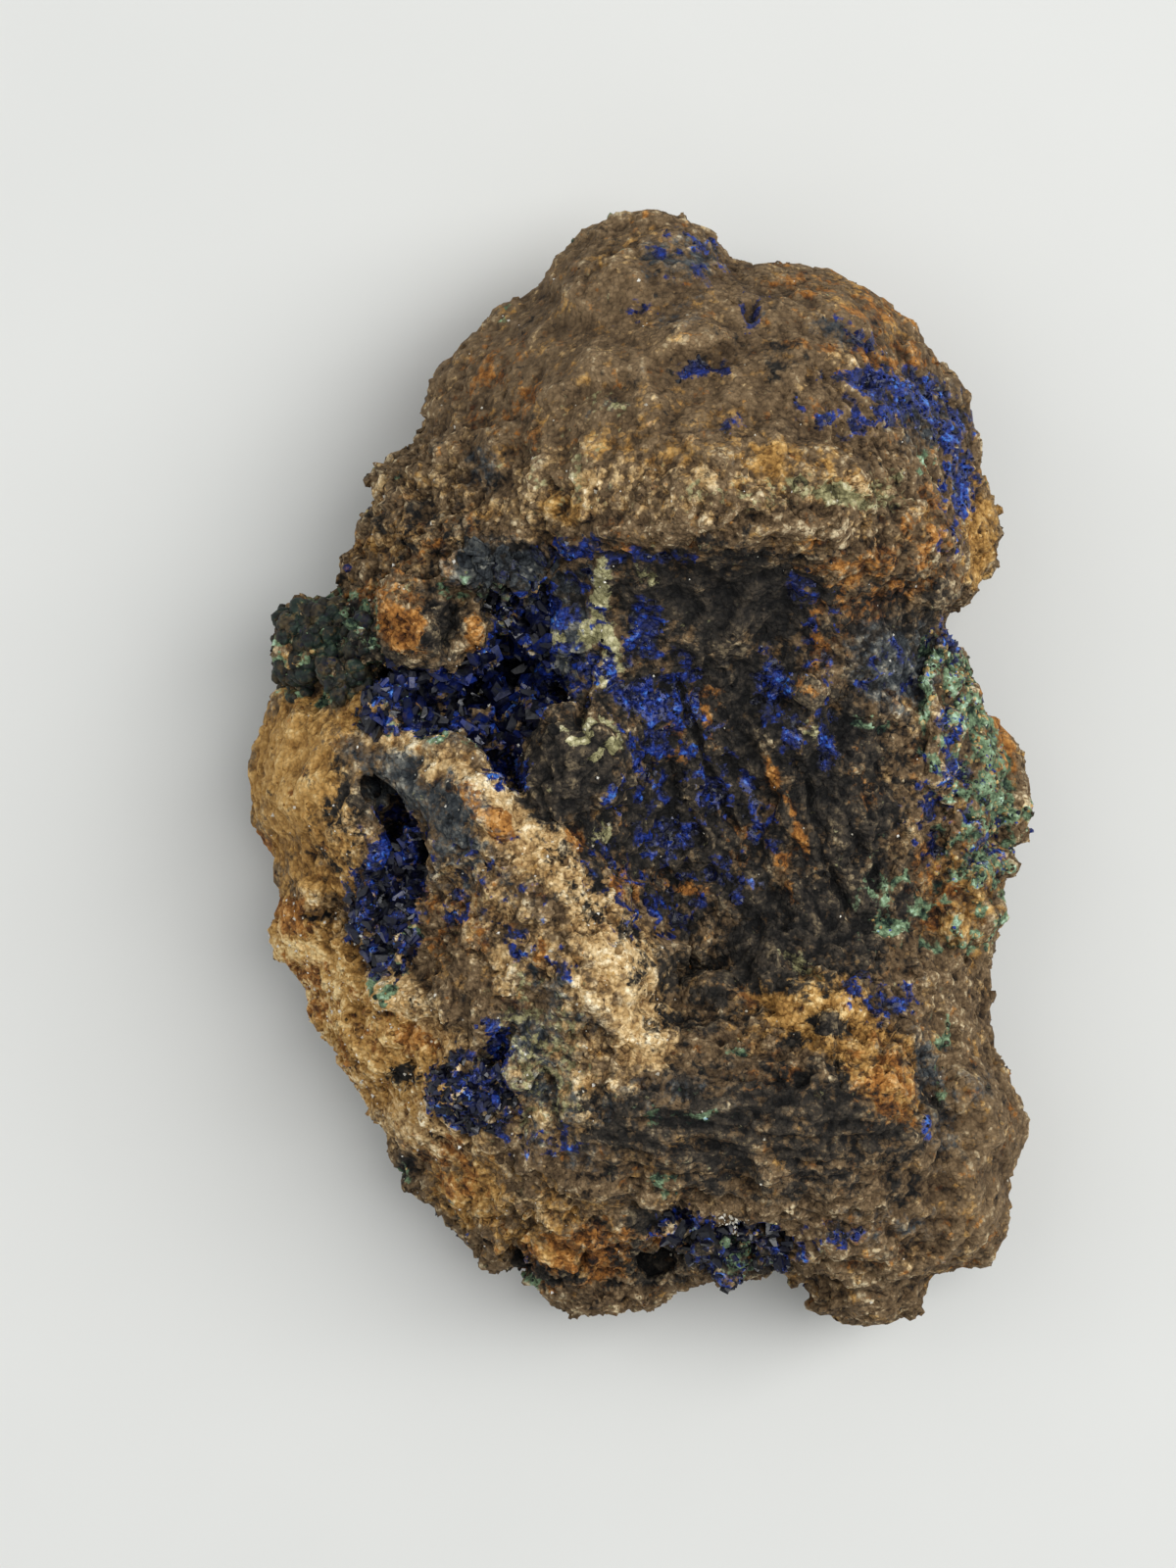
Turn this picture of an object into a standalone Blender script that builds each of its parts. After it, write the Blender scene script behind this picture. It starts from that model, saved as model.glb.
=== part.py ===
"""Azurite and malachite on a rusty, sandy matrix: one rough hand specimen, lying on its broken base.

The stone is one solid. The blue crystals that line its hollows and the green crusts on its flanks are
separate solids, each a skin that follows the stone and stands a hair clear of it. +Z is up, +Y runs along
the stone, and the origin lies under the middle of the stone, at the level of the surface it rests on.
"""

import math

import bmesh
import bpy
import numpy as np
from mathutils import Matrix, Vector, noise

MM = 0.001

# Driving dimensions, in millimetres.
LENGTH = 90.0
EDGE_PLANE = 15.0  # the height at which the outline's scale holds
EYE_HEIGHT = 430.0  # places are read from an eye this far above the surface
CRUST_GAP = 0.50  # between the stone and each crust, before either is made of flat faces

# Places are read in the photograph's pixels, from above, with the stone's top at the top.
LENGTH_PX = 1127.0
MIDDLE_PX = (650.0, 775.5)

# The silhouette, clockwise from the top: x and y in pixels, and the height of the edge in millimetres.
OUTLINE = (
    (656, 212, 18), (701, 221, 18), (723, 229, 18), (735, 248, 19), (738, 260, 19), (758, 273, 19),
    (774, 272, 19), (789, 264, 18), (825, 267, 17), (852, 273, 17), (869, 287, 17), (893, 297, 17),
    (916, 315, 17), (932, 325, 16), (943, 339, 16), (951, 357, 16), (966, 366, 15), (983, 404, 15),
    (991, 425, 14), (1000, 449, 13), (999, 471, 13), (1016, 496, 11), (1013, 520, 11), (1009, 548, 12),
    (1004, 573, 12), (995, 592, 13), (989, 618, 13), (983, 638, 13), (986, 656, 12), (994, 677, 11),
    (997, 705, 10), (1008, 726, 10), (1019, 740, 9), (1016, 750, 9), (1038, 774, 9), (1039, 790, 9),
    (1034, 806, 9), (1035, 832, 9), (1032, 857, 9), (1035, 871, 9), (1028, 878, 10), (1028, 935, 10),
    (1027, 961, 10), (1018, 988, 11), (1014, 1020, 11), (1010, 1039, 11), (1020, 1074, 12),
    (1032, 1103, 12), (1036, 1125, 12), (1048, 1143, 12), (1050, 1160, 12), (1045, 1174, 12),
    (1034, 1184, 12), (1036, 1198, 12), (1035, 1227, 12), (1030, 1253, 12), (1027, 1275, 12),
    (1015, 1291, 11), (999, 1299, 11), (969, 1304, 11), (952, 1310, 11), (937, 1322, 11),
    (924, 1330, 11), (904, 1338, 11), (878, 1334, 11), (873, 1339, 11), (854, 1331, 11),
    (842, 1320, 12), (827, 1312, 12), (811, 1304, 12), (795, 1302, 12), (777, 1308, 12),
    (765, 1317, 12), (742, 1308, 12), (715, 1307, 12), (684, 1313, 11), (675, 1323, 10),
    (656, 1332, 10), (627, 1339, 9), (602, 1333, 9), (567, 1326, 9), (537, 1311, 9), (524, 1300, 9),
    (497, 1291, 9), (477, 1272, 9), (465, 1252, 10), (454, 1243, 10), (441, 1224, 10), (425, 1204, 10),
    (401, 1192, 10), (391, 1173, 11), (387, 1152, 11), (377, 1135, 11), (360, 1114, 11),
    (343, 1077, 12), (326, 1053, 12), (312, 1015, 12), (307, 998, 12), (295, 995, 12), (284, 978, 12),
    (273, 956, 12), (273, 935, 12), (282, 912, 11), (282, 887, 11), (273, 870, 10), (259, 864, 9),
    (251, 846, 10), (250, 820, 11), (250, 779, 12), (259, 751, 12), (269, 731, 12), (278, 716, 12),
    (274, 695, 11), (281, 682, 11), (280, 670, 11), (291, 657, 11), (292, 642, 11), (302, 626, 12),
    (324, 610, 13), (351, 597, 14), (345, 583, 14), (357, 562, 15), (365, 549, 15), (384, 514, 16),
    (393, 481, 16), (396, 461, 16), (413, 450, 17), (435, 438, 17), (436, 417, 17), (444, 390, 17),
    (457, 368, 17), (472, 355, 17), (479, 340, 17), (494, 333, 17), (499, 315, 17), (514, 305, 17),
    (523, 307, 17), (544, 296, 17), (552, 283, 17), (579, 252, 18), (610, 227, 18),
)

# Spot heights of the upper side: x and y in pixels, and the height in millimetres.
UPPER_LOBE = (
    (640, 250, 22), (700, 262, 23), (590, 290, 24), (560, 350, 26), (640, 340, 29), (720, 350, 30),
    (760, 300, 25), (800, 305, 25), (860, 330, 26), (920, 380, 25), (500, 370, 23), (470, 430, 23),
    (560, 430, 31), (650, 430, 34), (740, 430, 34), (830, 430, 32), (910, 450, 29), (970, 450, 22),
    (430, 490, 23), (500, 490, 28), (580, 500, 33), (660, 505, 36), (750, 510, 38), (840, 510, 36),
    (920, 510, 30), (980, 530, 20), (400, 540, 21), (460, 545, 26), (540, 540, 31), (620, 548, 35),
    (700, 553, 36.5), (790, 553, 36.5), (870, 552, 34), (940, 555, 28),
)
DARK_WALL = (
    (560, 590, 28), (620, 580, 30), (700, 582, 31), (790, 582, 31), (870, 585, 29), (940, 590, 25),
    (985, 600, 18), (580, 640, 27), (640, 650, 27.5), (720, 650, 27), (800, 650, 26), (880, 660, 25),
    (950, 660, 20), (975, 645, 15), (560, 700, 25), (620, 700, 26.5), (700, 720, 25), (780, 720, 24.5),
    (860, 730, 24), (930, 730, 21), (985, 730, 15),
)
BASIN = (
    (555, 750, 28), (600, 745, 29), (600, 810, 28), (560, 820, 27), (660, 800, 24), (740, 800, 23),
    (820, 800, 23.5), (900, 810, 22), (960, 810, 19), (1012, 810, 13), (650, 880, 22.5), (730, 890, 22),
    (810, 890, 22.5), (890, 890, 21), (960, 890, 18), (1008, 900, 14), (690, 960, 22),
    (680, 1010, 23.5), (740, 1010, 23.5), (760, 970, 22.5), (840, 960, 22.5), (910, 970, 20.5),
    (970, 970, 17), (1002, 1000, 13.5),
)
SCREE = ((790, 1025, 25), (850, 1020, 26.5), (880, 1070, 27.5), (930, 1040, 22), (980, 1050, 17))
DIAGONAL_RIDGE = (
    (385, 765, 25), (430, 785, 28), (470, 805, 30), (500, 850, 31), (540, 880, 31), (560, 930, 31.5),
    (600, 970, 31.5), (640, 1015, 30.5), (660, 1060, 29.5),
)
RIDGE_FLANK = (
    (450, 900, 27), (500, 950, 28.5), (550, 1010, 29.5), (600, 1060, 30), (440, 960, 25.5),
    (400, 1010, 23.5), (470, 1030, 27), (520, 1060, 28.5), (360, 1000, 20), (330, 985, 17),
    (360, 1060, 18.5), (420, 1080, 22.5), (460, 1110, 24.5), (540, 1110, 28.5), (420, 1150, 18.5),
    (480, 1170, 22.5), (540, 1170, 27), (470, 1220, 16.5), (520, 1230, 20.5),
)
OCHRE_LOBE = (
    (270, 800, 17), (300, 760, 20.5), (300, 830, 22.5), (335, 780, 24), (350, 850, 25.5),
    (330, 890, 22.5), (300, 900, 18.5), (365, 820, 26), (310, 720, 18.5), (345, 725, 21.5),
    (290, 940, 16), (340, 940, 20), (380, 985, 21),
)
LEFT_SHOULDER = ((310, 645, 16.5), (345, 650, 18), (330, 690, 17), (375, 650, 20), (390, 590, 23), (430, 600, 26))
LOWER_TERRACE = (
    (620, 1110, 30.5), (700, 1110, 30.5), (780, 1110, 30.5), (860, 1120, 29.5), (920, 1110, 27.5),
    (600, 1170, 29), (680, 1175, 29.5), (760, 1180, 29.5), (840, 1185, 28.5), (910, 1180, 26),
    (940, 1150, 24.5), (560, 1240, 22.5), (620, 1240, 24.5), (700, 1225, 25), (780, 1240, 25),
    (860, 1250, 24), (930, 1240, 22), (540, 1280, 17), (600, 1290, 18.5), (680, 1290, 18),
    (740, 1285, 17.5), (800, 1285, 18.5), (880, 1300, 18), (960, 1280, 18),
)
LOWER_RIGHT_LOBE = (
    (958, 1095, 18.5), (962, 1150, 19.5), (958, 1210, 20), (985, 1100, 20), (1010, 1100, 16.5),
    (1000, 1150, 20.5), (1030, 1160, 15.5), (990, 1200, 20.5), (1010, 1240, 16.5),
)
SPOT_HEIGHTS = (
    UPPER_LOBE + DARK_WALL + BASIN + SCREE + DIAGONAL_RIDGE + RIDGE_FLANK + OCHRE_LOBE
    + LEFT_SHOULDER + LOWER_TERRACE + LOWER_RIGHT_LOBE
)

# Hollows and lumps: x and y in pixels, then height, three half-widths and a turn about Z, in
# millimetres and degrees.
VUG = (
    (528, 640, 23, 3.2, 5.6, 10.0, -8),
    (490, 712, 25, 8.0, 4.0, 9.0, -12),
    (415, 700, 24, 4.0, 2.4, 6.5, 0),
    (530, 765, 27, 3.6, 4.6, 6.5, 20),
)
CREVICE = (
    (382, 800, 26, 1.1, 2.0, 8.0, 40),
    (402, 836, 26, 1.5, 3.0, 9.5, 10),
    (408, 870, 26, 1.9, 3.4, 11.0, -5),
    (395, 925, 25, 2.5, 4.0, 9.0, -12),
)
POCKET = (
    (483, 1108, 26, 2.9, 2.5, 5.0, 20),
    (505, 1082, 28, 1.7, 3.0, 5.5, -20),
)
RIM_POCKET = (
    (700, 1248, 26, 3.4, 1.5, 5.0, -15),
    (752, 1272, 23, 4.0, 2.6, 5.5, -8),
)
GASHES = (
    (538, 1292, 15, 1.2, 2.6, 4.5, 35),
    (672, 1288, 19, 1.5, 3.2, 5.5, -35),
    (700, 985, 22, 3.0, 2.0, 2.4, 0),
    (978, 632, 15, 1.8, 2.6, 6.0, 0),
    (950, 1150, 21, 0.8, 5.5, 3.0, 4),
    (745, 262, 23, 2.2, 1.6, 5.0, -40),
)
LUMPS = (
    (440, 638, 25.5, 4.6, 2.9, 3.4, -12),
    (485, 640, 26.0, 1.6, 2.6, 3.2, 5),
    (500, 580, 28.5, 4.6, 1.8, 1.6, -8),
    (585, 775, 24.5, 4.2, 4.6, 6.6, 12),
    (405, 655, 22.0, 2.4, 2.0, 3.0, 20),
    (818, 702, 25.2, 1.3, 1.0, 1.2, 0),
    (1010, 800, 8.0, 3.0, 5.0, 4.5, 8),
    (1003, 540, 11.0, 1.6, 3.0, 4.0, 0),
    (330, 640, 13.5, 3.4, 3.0, 4.0, 30),
    (430, 1190, 9.5, 2.2, 2.6, 4.0, 30),
    (612, 1308, 10.5, 5.6, 2.8, 6.0, 0),
    (880, 1318, 10.5, 5.0, 2.4, 5.5, 0),
)

# Broken faces that cut the flanks: the outward direction, and the distance from the axis, in millimetres.
BREAKS = (
    ((-0.74, 0.60, -0.30), 30.5),
    ((-0.93, 0.05, -0.37), 28.0),
    ((-0.78, -0.50, -0.37), 32.0),
    ((-0.20, -0.92, -0.34), 39.0),
    ((0.55, -0.78, -0.30), 45.5),
    ((0.93, -0.16, -0.33), 31.0),
    ((0.88, 0.30, -0.37), 28.5),
    ((0.52, 0.80, -0.30), 36.5),
    ((-0.12, 0.95, -0.29), 39.0),
)
BREAK_SOFTNESS = 0.35  # share of the overhang that a break leaves

# The underside.
UNDERCUT = 7.5
FOOT_HEIGHT = 2.2
UNDERSIDE_HEIGHT = 1.7
UNDERSIDE_RELIEF = 1.1
FEET = ((-16.0, -27.0, 9.5), (14.5, -29.0, 9.0), (-11.0, 25.0, 9.0), (16.0, 22.0, 9.5))
FOOT_DROP = 3.6

# Relief: how far each kind stands out, and its size, in millimetres.
SWELLS = (0.55, 12.0)
BLOCKS = (1.30, 6.5)
CHIPS = (0.75, 3.1)
TILT = 1.7  # how far the small planes of the blocks and chips lean
STEP = 0.45  # how far they stand above each other
BEDS = (0.80, 1.5)
BEDS_BELOW_Y = -20.0  # the lower end shows its bedding
RIM_CALM = 0.30  # share of the relief left at the silhouette
RIM_REACH = 2.6

# How finely the stone is made.
AROUND = 220
UPPER_RINGS = 44
WALL_RINGS = 12
UNDER_RINGS = 16
STONE_VOXEL = 0.58
STONE_FACES = 4700
FLAT_WITHIN = 1.0  # degrees: neighbouring faces this close to one plane become one

# Crystals and knobs: the least and the greatest half-width in millimetres, how many stand on a crust, and
# how many faces the crust is made of before it is cut to the stone.
CRYSTAL_SIDES = 6
VUG_CRYSTALS = (0.95, 1.60, 24, 1600)
CREVICE_CRYSTALS = (0.75, 1.15, 12, 1000)
POCKET_CRYSTALS = (0.70, 1.05, 10, 650)
RIM_CRYSTALS = (0.70, 1.15, 10, 700)
FLANK_KNOBS = (1.1, 2.1, 14, 1100)
LEFT_KNOBS = (1.1, 1.8, 8, 550)
KNOB_SIDES = 7
KNOB_RINGS = 4
CRUST_THICKNESS = 0.65
SHELL_FACES = 4400
COLUMN_VOXEL = 0.5
GROWTH_VOXEL = 0.2
GAPS_CLOSED = 0.7  # gaps under twice this are bridged by the crusts

# Where the crusts lie, seen from above: the middle and the two half-widths of ellipses in pixels, then
# the lowest and the highest that the crust reaches, in millimetres.
VUG_PATCH = (((470, 722, 92, 46), (528, 655, 34, 70), (532, 765, 36, 36)), 5.0, 25.0)
CREVICE_PATCH = (((384, 800, 16, 30), (402, 836, 20, 36), (408, 875, 26, 44), (395, 928, 32, 52)), 5.0, 24.5)
POCKET_PATCH = (((483, 1110, 38, 34), (505, 1080, 24, 38)), 5.0, 27.0)
RIM_PATCH = (((705, 1250, 36, 20), (750, 1268, 40, 24)), 9.0, 24.0)
FLANK_PATCH = (((964, 700, 27, 54), (984, 770, 42, 54), (1000, 850, 38, 60), (990, 915, 36, 44)), 5.0, 22.0)
LEFT_PATCH = (((322, 645, 40, 32), (348, 666, 28, 28), (300, 675, 22, 22)), 7.0, 26.0)
STEEPEST = -0.30  # how far a face may lean under and still carry crystals or knobs
PATCH_SIDES = 18
PATCH_WAVE = 0.22

AZURITE = ("azurite", (0.020, 0.035, 0.300), 0.30)
MALACHITE = ("malachite", (0.130, 0.330, 0.220), 0.55)
STONE = ("stone", (0.260, 0.170, 0.090), 0.85)


def clear_scene():
    for old in list(bpy.data.objects):
        bpy.data.objects.remove(old)


def place(x_px, y_px, z):
    """The point in millimetres that is seen from above at this pixel, at height z."""
    scale = LENGTH / LENGTH_PX * (EYE_HEIGHT - z) / (EYE_HEIGHT - EDGE_PLANE)
    return Vector(((x_px - MIDDLE_PX[0]) * scale, (MIDDLE_PX[1] - y_px) * scale, z))


def seen_at(point):
    """The pixel at which a point in millimetres is seen from above."""
    scale = LENGTH_PX / LENGTH * (EYE_HEIGHT - EDGE_PLANE) / (EYE_HEIGHT - point[2])
    return MIDDLE_PX[0] + point[0] * scale, MIDDLE_PX[1] - point[1] * scale


def material(name, colour, roughness):
    made = bpy.data.materials.new(name)
    made.use_nodes = True
    shader = made.node_tree.nodes["Principled BSDF"]
    shader.inputs["Base Color"].default_value = (*colour, 1.0)
    shader.inputs["Roughness"].default_value = roughness
    made.diffuse_color = (*colour, 1.0)
    return made


def object_of(name, mesh):
    made = bpy.data.objects.new(name, mesh)
    bpy.context.scene.collection.objects.link(made)
    return made


def object_from(name, bm):
    """A new object of flat triangles that takes this bmesh, which is in millimetres and faces out."""
    mesh = bpy.data.meshes.new(name)
    bmesh.ops.triangulate(bm, faces=bm.faces)
    bm.to_mesh(mesh)
    bm.free()
    return object_of(name, mesh)


def apply_modifiers(obj):
    graph = bpy.context.evaluated_depsgraph_get()
    mesh = bpy.data.meshes.new_from_object(obj.evaluated_get(graph))
    obj.modifiers.clear()
    obj.data = mesh


def boolean(obj, other, operation, own_overlaps=False):
    """Joins or cuts obj with other, and removes other."""
    step = obj.modifiers.new(operation.lower(), "BOOLEAN")
    step.operation = operation
    step.object = other
    step.use_self = own_overlaps
    apply_modifiers(obj)
    bpy.data.objects.remove(other)


def height_field(spots):
    """A smooth surface through spot heights, as a function of arrays x and y in millimetres."""
    softness = 1.2
    at = np.array([(s[0], s[1]) for s in spots])
    z = np.array([s[2] for s in spots])

    def kernel(a, b):
        away = np.hypot(a[:, None, 0] - b[None, :, 0], a[:, None, 1] - b[None, :, 1])
        return np.sqrt(away**2 + softness**2)

    mean = z.mean()
    steadied = kernel(at, at) - 0.02 * np.eye(len(at))
    weights = np.linalg.solve(steadied, z - mean)

    def height(x, y):
        points = np.stack([np.ravel(x), np.ravel(y)], axis=1)
        return (kernel(points, at) @ weights + mean).reshape(np.shape(x))

    return height


def resampled_outline():
    """Points evenly spaced along the silhouette, as arrays of x, y and edge height."""
    corners = np.array([place(x, y, EDGE_PLANE)[:2] for x, y, _ in OUTLINE])
    edge = np.array([z for _, _, z in OUTLINE], float)
    closed = np.vstack([corners, corners[:1]])
    along = np.concatenate([[0.0], np.cumsum(np.hypot(*np.diff(closed, axis=0).T))])
    at = np.linspace(0.0, along[-1], AROUND, endpoint=False)
    x = np.interp(at, along, closed[:, 0])
    y = np.interp(at, along, closed[:, 1])
    return x, y, np.interp(at, along, np.append(edge, edge[0]))


def underside(x, y):
    """The height of the broken base, which comes down to the surface at its feet."""
    rough = np.array([
        noise.fractal(Vector((a, b, 3.0)) / 9.0, 1.0, 2.0, 3) for a, b in zip(np.ravel(x), np.ravel(y))
    ]).reshape(np.shape(x))
    z = UNDERSIDE_HEIGHT + UNDERSIDE_RELIEF * rough
    for foot_x, foot_y, reach in FEET:
        near = ((x - foot_x) ** 2 + (y - foot_y) ** 2) / reach**2
        z = z - FOOT_DROP * np.exp(-(near**2) * 1.5)
    return z


def stone_rings():
    """Rings of points from the middle of the upper side, over the edge and under to the middle of the base."""
    edge_x, edge_y, edge_z = resampled_outline()
    spots = [(*place(x, y, z)[:2], z) for x, y, z in SPOT_HEIGHTS]
    spots += list(zip(edge_x[::3], edge_y[::3], edge_z[::3]))
    height = height_field(spots)
    rings = []
    for k in range(1, UPPER_RINGS + 1):
        share = k / UPPER_RINGS
        x, y = edge_x * share, edge_y * share
        rings.append((x, y, height(x, y)))
    reach = np.hypot(edge_x, edge_y)
    for k in range(1, WALL_RINGS + 1):
        share = k / WALL_RINGS
        inset = 1.0 - UNDERCUT * share**1.7 / reach
        z = edge_z * (1.0 - share) + FOOT_HEIGHT * share
        rings.append((edge_x * inset, edge_y * inset, z))
    foot = 1.0 - UNDERCUT / reach
    for k in range(1, UNDER_RINGS):
        share = 1.0 - k / UNDER_RINGS
        x, y = edge_x * foot * share, edge_y * foot * share
        rings.append((x, y, underside(x, y)))
    top = Vector((0.0, 0.0, float(height(np.zeros(1), np.zeros(1))[0])))
    base = Vector((0.0, 0.0, float(underside(np.zeros(1), np.zeros(1))[0])))
    return top, rings, base


def lofted_stone():
    top, rings, base = stone_rings()
    bm = bmesh.new()
    loops = [[bm.verts.new(point) for point in zip(*ring)] for ring in rings]
    for upper, lower in zip(loops, loops[1:]):
        for k in range(AROUND):
            after = (k + 1) % AROUND
            bm.faces.new((upper[k], upper[after], lower[after], lower[k]))
    above, below = bm.verts.new(top), bm.verts.new(base)
    for k in range(AROUND):
        after = (k + 1) % AROUND
        bm.faces.new((above, loops[0][after], loops[0][k]))
        bm.faces.new((below, loops[-1][k], loops[-1][after]))
    if bm.calc_volume(signed=True) < 0.0:
        bmesh.ops.reverse_faces(bm, faces=bm.faces)
    return object_from("stone_blank", bm)


def boulders(name, shapes, wobble=0.16, finer=3):
    """Rough ellipsoids, all in one object."""
    bm = bmesh.new()
    for x_px, y_px, z, across, along, deep, turn in shapes:
        ball = bmesh.ops.create_icosphere(bm, subdivisions=finer, radius=1.0)
        centre = place(x_px, y_px, z)
        turned = Matrix.Rotation(math.radians(turn), 3, "Z")
        for vert in ball["verts"]:
            bump = 1.0 + wobble * noise.fractal(vert.co * 1.6 + centre * 0.37, 1.0, 2.0, 2)
            stretched = Vector((vert.co.x * across, vert.co.y * along, vert.co.z * deep))
            vert.co = centre + turned @ (stretched * bump)
    return object_from(name, bm)


def remesh(obj, voxel):
    step = obj.modifiers.new("even", "REMESH")
    step.mode = "VOXEL"
    step.voxel_size = voxel
    apply_modifiers(obj)


def decimate(obj, faces):
    """Leaves this many triangles, most of them where the surface bends most."""
    obj.data.calc_loop_triangles()
    step = obj.modifiers.new("fewer", "DECIMATE")
    step.ratio = faces / len(obj.data.loop_triangles)
    apply_modifiers(obj)


def broken(point):
    """The point pushed most of the way back to each broken face that it stands beyond."""
    for way, distance in BREAKS:
        outward = Vector(way).normalized()
        beyond = point.dot(outward) - distance
        if beyond > 0.0:
            point = point - outward * beyond * (1.0 - BREAK_SOFTNESS)
    return point


def hackly(point, size):
    """A stepped value like that of a broken surface: each cell is a small tilted plane."""
    centre = noise.voronoi(point / size)[1][0]
    tilt = Vector(noise.noise(centre * 3.7 + Vector((k, 0.0, 0.0))) for k in (11.3, 37.9, 71.7))
    return TILT * (point / size - centre).dot(tilt) + STEP * noise.noise(centre * 5.1)


def relief(point):
    """How far the surface stands out at this point, in millimetres."""
    swell = SWELLS[0] * noise.fractal(point / SWELLS[1], 1.0, 2.0, 2)
    blocks = BLOCKS[0] * hackly(point, BLOCKS[1])
    chips = CHIPS[0] * hackly(point + Vector((31.0, 7.0, 11.0)), CHIPS[1])
    across = point.y * 0.36 + point.z * 0.9 + 1.6 * swell
    bed = noise.noise(Vector((across / BEDS[1], point.x / 16.0, point.y / 30.0)))
    shown = 1.0 / (1.0 + math.exp((point.y - BEDS_BELOW_Y) / 4.0))
    return swell + blocks + chips + BEDS[0] * bed * (0.15 + 0.85 * shown)


def outward(mesh):
    """The outward direction at each vertex."""
    mesh.calc_loop_triangles()
    corner = np.array([vert.co for vert in mesh.vertices])
    tri = np.array([t.vertices for t in mesh.loop_triangles])
    flat = np.cross(corner[tri[:, 1]] - corner[tri[:, 0]], corner[tri[:, 2]] - corner[tri[:, 0]])
    total = np.zeros_like(corner)
    for k in range(3):
        np.add.at(total, tri[:, k], flat)
    total /= np.linalg.norm(total, axis=1, keepdims=True)
    return [Vector(way) for way in total]


def off_outline(mesh):
    """How far each vertex lies from the silhouette, seen from above."""
    x, y = np.array([vert.co[:2] for vert in mesh.vertices]).T
    away = np.full(len(x), np.inf)
    for edge_x, edge_y, _ in zip(*resampled_outline()):
        away = np.minimum(away, np.hypot(x - edge_x, y - edge_y))
    return away


def roughened(obj):
    """Breaks the surface up, and less so along the silhouette."""
    mesh = obj.data
    shares = 1.0 - (1.0 - RIM_CALM) * np.exp(-((off_outline(mesh) / RIM_REACH) ** 2))
    for vert, way, share in zip(mesh.vertices, outward(mesh), shares):
        vert.co = vert.co + way * relief(vert.co) * float(share)
    mesh.update()


def cut_flat_base(obj):
    """Takes off what lies under the surface, which leaves a flat pad at each foot."""
    bm = bmesh.new()
    bmesh.ops.create_cube(bm, size=1.0)
    for vert in bm.verts:
        vert.co = Vector((vert.co.x * 2 * LENGTH, vert.co.y * 2 * LENGTH, (vert.co.z - 0.5) * LENGTH))
    boolean(obj, object_from("below", bm), "DIFFERENCE")


def ears(face, taken):
    """Cuts a flat face into triangles, and never along two corners that an edge joins already."""
    ring = list(face.verts)
    normal = face.normal
    triangles = []
    while len(ring) > 3:
        best, best_share = None, 0.0
        for k, tip in enumerate(ring):
            before, after = ring[k - 1], ring[(k + 1) % len(ring)]
            one, two, base = tip.co - before.co, after.co - tip.co, after.co - before.co
            turn = one.cross(two).dot(normal)
            if turn <= 0.0 or frozenset((before, after)) in taken:
                continue
            others = (v for v in ring if v not in (before, tip, after))
            if any(within(v.co, (before.co, tip.co, after.co), normal) for v in others):
                continue
            share = turn / (one.length_squared + two.length_squared + base.length_squared)
            if share > best_share:
                best, best_share = k, share
        if best is None:
            return None
        before, tip, after = ring[best - 1], ring[best], ring[(best + 1) % len(ring)]
        triangles.append((before, tip, after))
        taken.add(frozenset((before, after)))
        ring.pop(best)
    return triangles + [tuple(ring)]


def within(point, corners, normal):
    """Whether a point lies in or on a triangle, seen along its normal."""
    return all(
        (corners[k] - corners[k - 1]).cross(point - corners[k - 1]).dot(normal) >= -1e-7 for k in range(3)
    )


def triangulate(bm):
    """Makes every face triangles, with each edge shared by two of them."""
    taken = {frozenset(edge.verts) for edge in bm.edges}
    for face in [f for f in bm.faces if len(f.verts) > 3]:
        triangles = ears(face, taken)
        if triangles is None:
            bmesh.ops.poke(bm, faces=[face])
            continue
        bm.faces.remove(face)
        for corners in triangles:
            bm.faces.new(corners)


def largest_body(obj):
    """Drops every loose crumb that a cut has left."""
    bm = bmesh.new()
    bm.from_mesh(obj.data)
    bmesh.ops.remove_doubles(bm, verts=bm.verts, dist=1e-4)
    bmesh.ops.dissolve_degenerate(bm, edges=bm.edges, dist=1e-4)
    left, bodies = set(bm.faces), []
    while left:
        body, edge = set(), [left.pop()]
        while edge:
            face = edge.pop()
            body.add(face)
            near = {f for e in face.edges for f in e.link_faces} & left
            left -= near
            edge.extend(near)
        bodies.append(body)
    keep = max(bodies, key=lambda body: sum(face.calc_area() for face in body))
    bmesh.ops.delete(bm, geom=[f for f in bm.faces if f not in keep], context="FACES")
    bmesh.ops.dissolve_limit(bm, angle_limit=math.radians(FLAT_WITHIN), verts=bm.verts, edges=bm.edges)
    bm.normal_update()
    triangulate(bm)
    bm.to_mesh(obj.data)
    bm.free()
    obj.data.update()


def make_stone():
    stone = lofted_stone()
    for name, shapes in (("vug", VUG), ("crevice", CREVICE), ("pocket", POCKET), ("rim", RIM_POCKET)):
        boolean(stone, boulders(name, shapes), "DIFFERENCE", own_overlaps=True)
    boolean(stone, boulders("gashes", GASHES), "DIFFERENCE", own_overlaps=True)
    boolean(stone, boulders("lumps", LUMPS, wobble=0.3), "UNION", own_overlaps=True)
    remesh(stone, STONE_VOXEL)
    for vert in stone.data.vertices:
        vert.co = broken(vert.co)
    stone.data.update()
    roughened(stone)
    remesh(stone, STONE_VOXEL)
    inner = shell_of(stone, CRUST_GAP)
    outer = shell_of(stone, CRUST_GAP + CRUST_THICKNESS)
    decimate(stone, STONE_FACES)
    cut_flat_base(stone)
    largest_body(stone)
    stone.name = "matrix"
    stone.data.name = "matrix"
    return stone, inner, outer


def shell_of(fine, distance):
    """The stone grown outwards by this much, with its narrow gaps closed, as a solid of its own."""
    shell = object_of("shell", fine.data.copy())
    for step in (distance + GAPS_CLOSED, -GAPS_CLOSED):
        for vert, way in zip(shell.data.vertices, outward(shell.data)):
            vert.co = vert.co + way * step
        shell.data.update()
        remesh(shell, STONE_VOXEL)
    decimate(shell, SHELL_FACES)
    return shell


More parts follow.
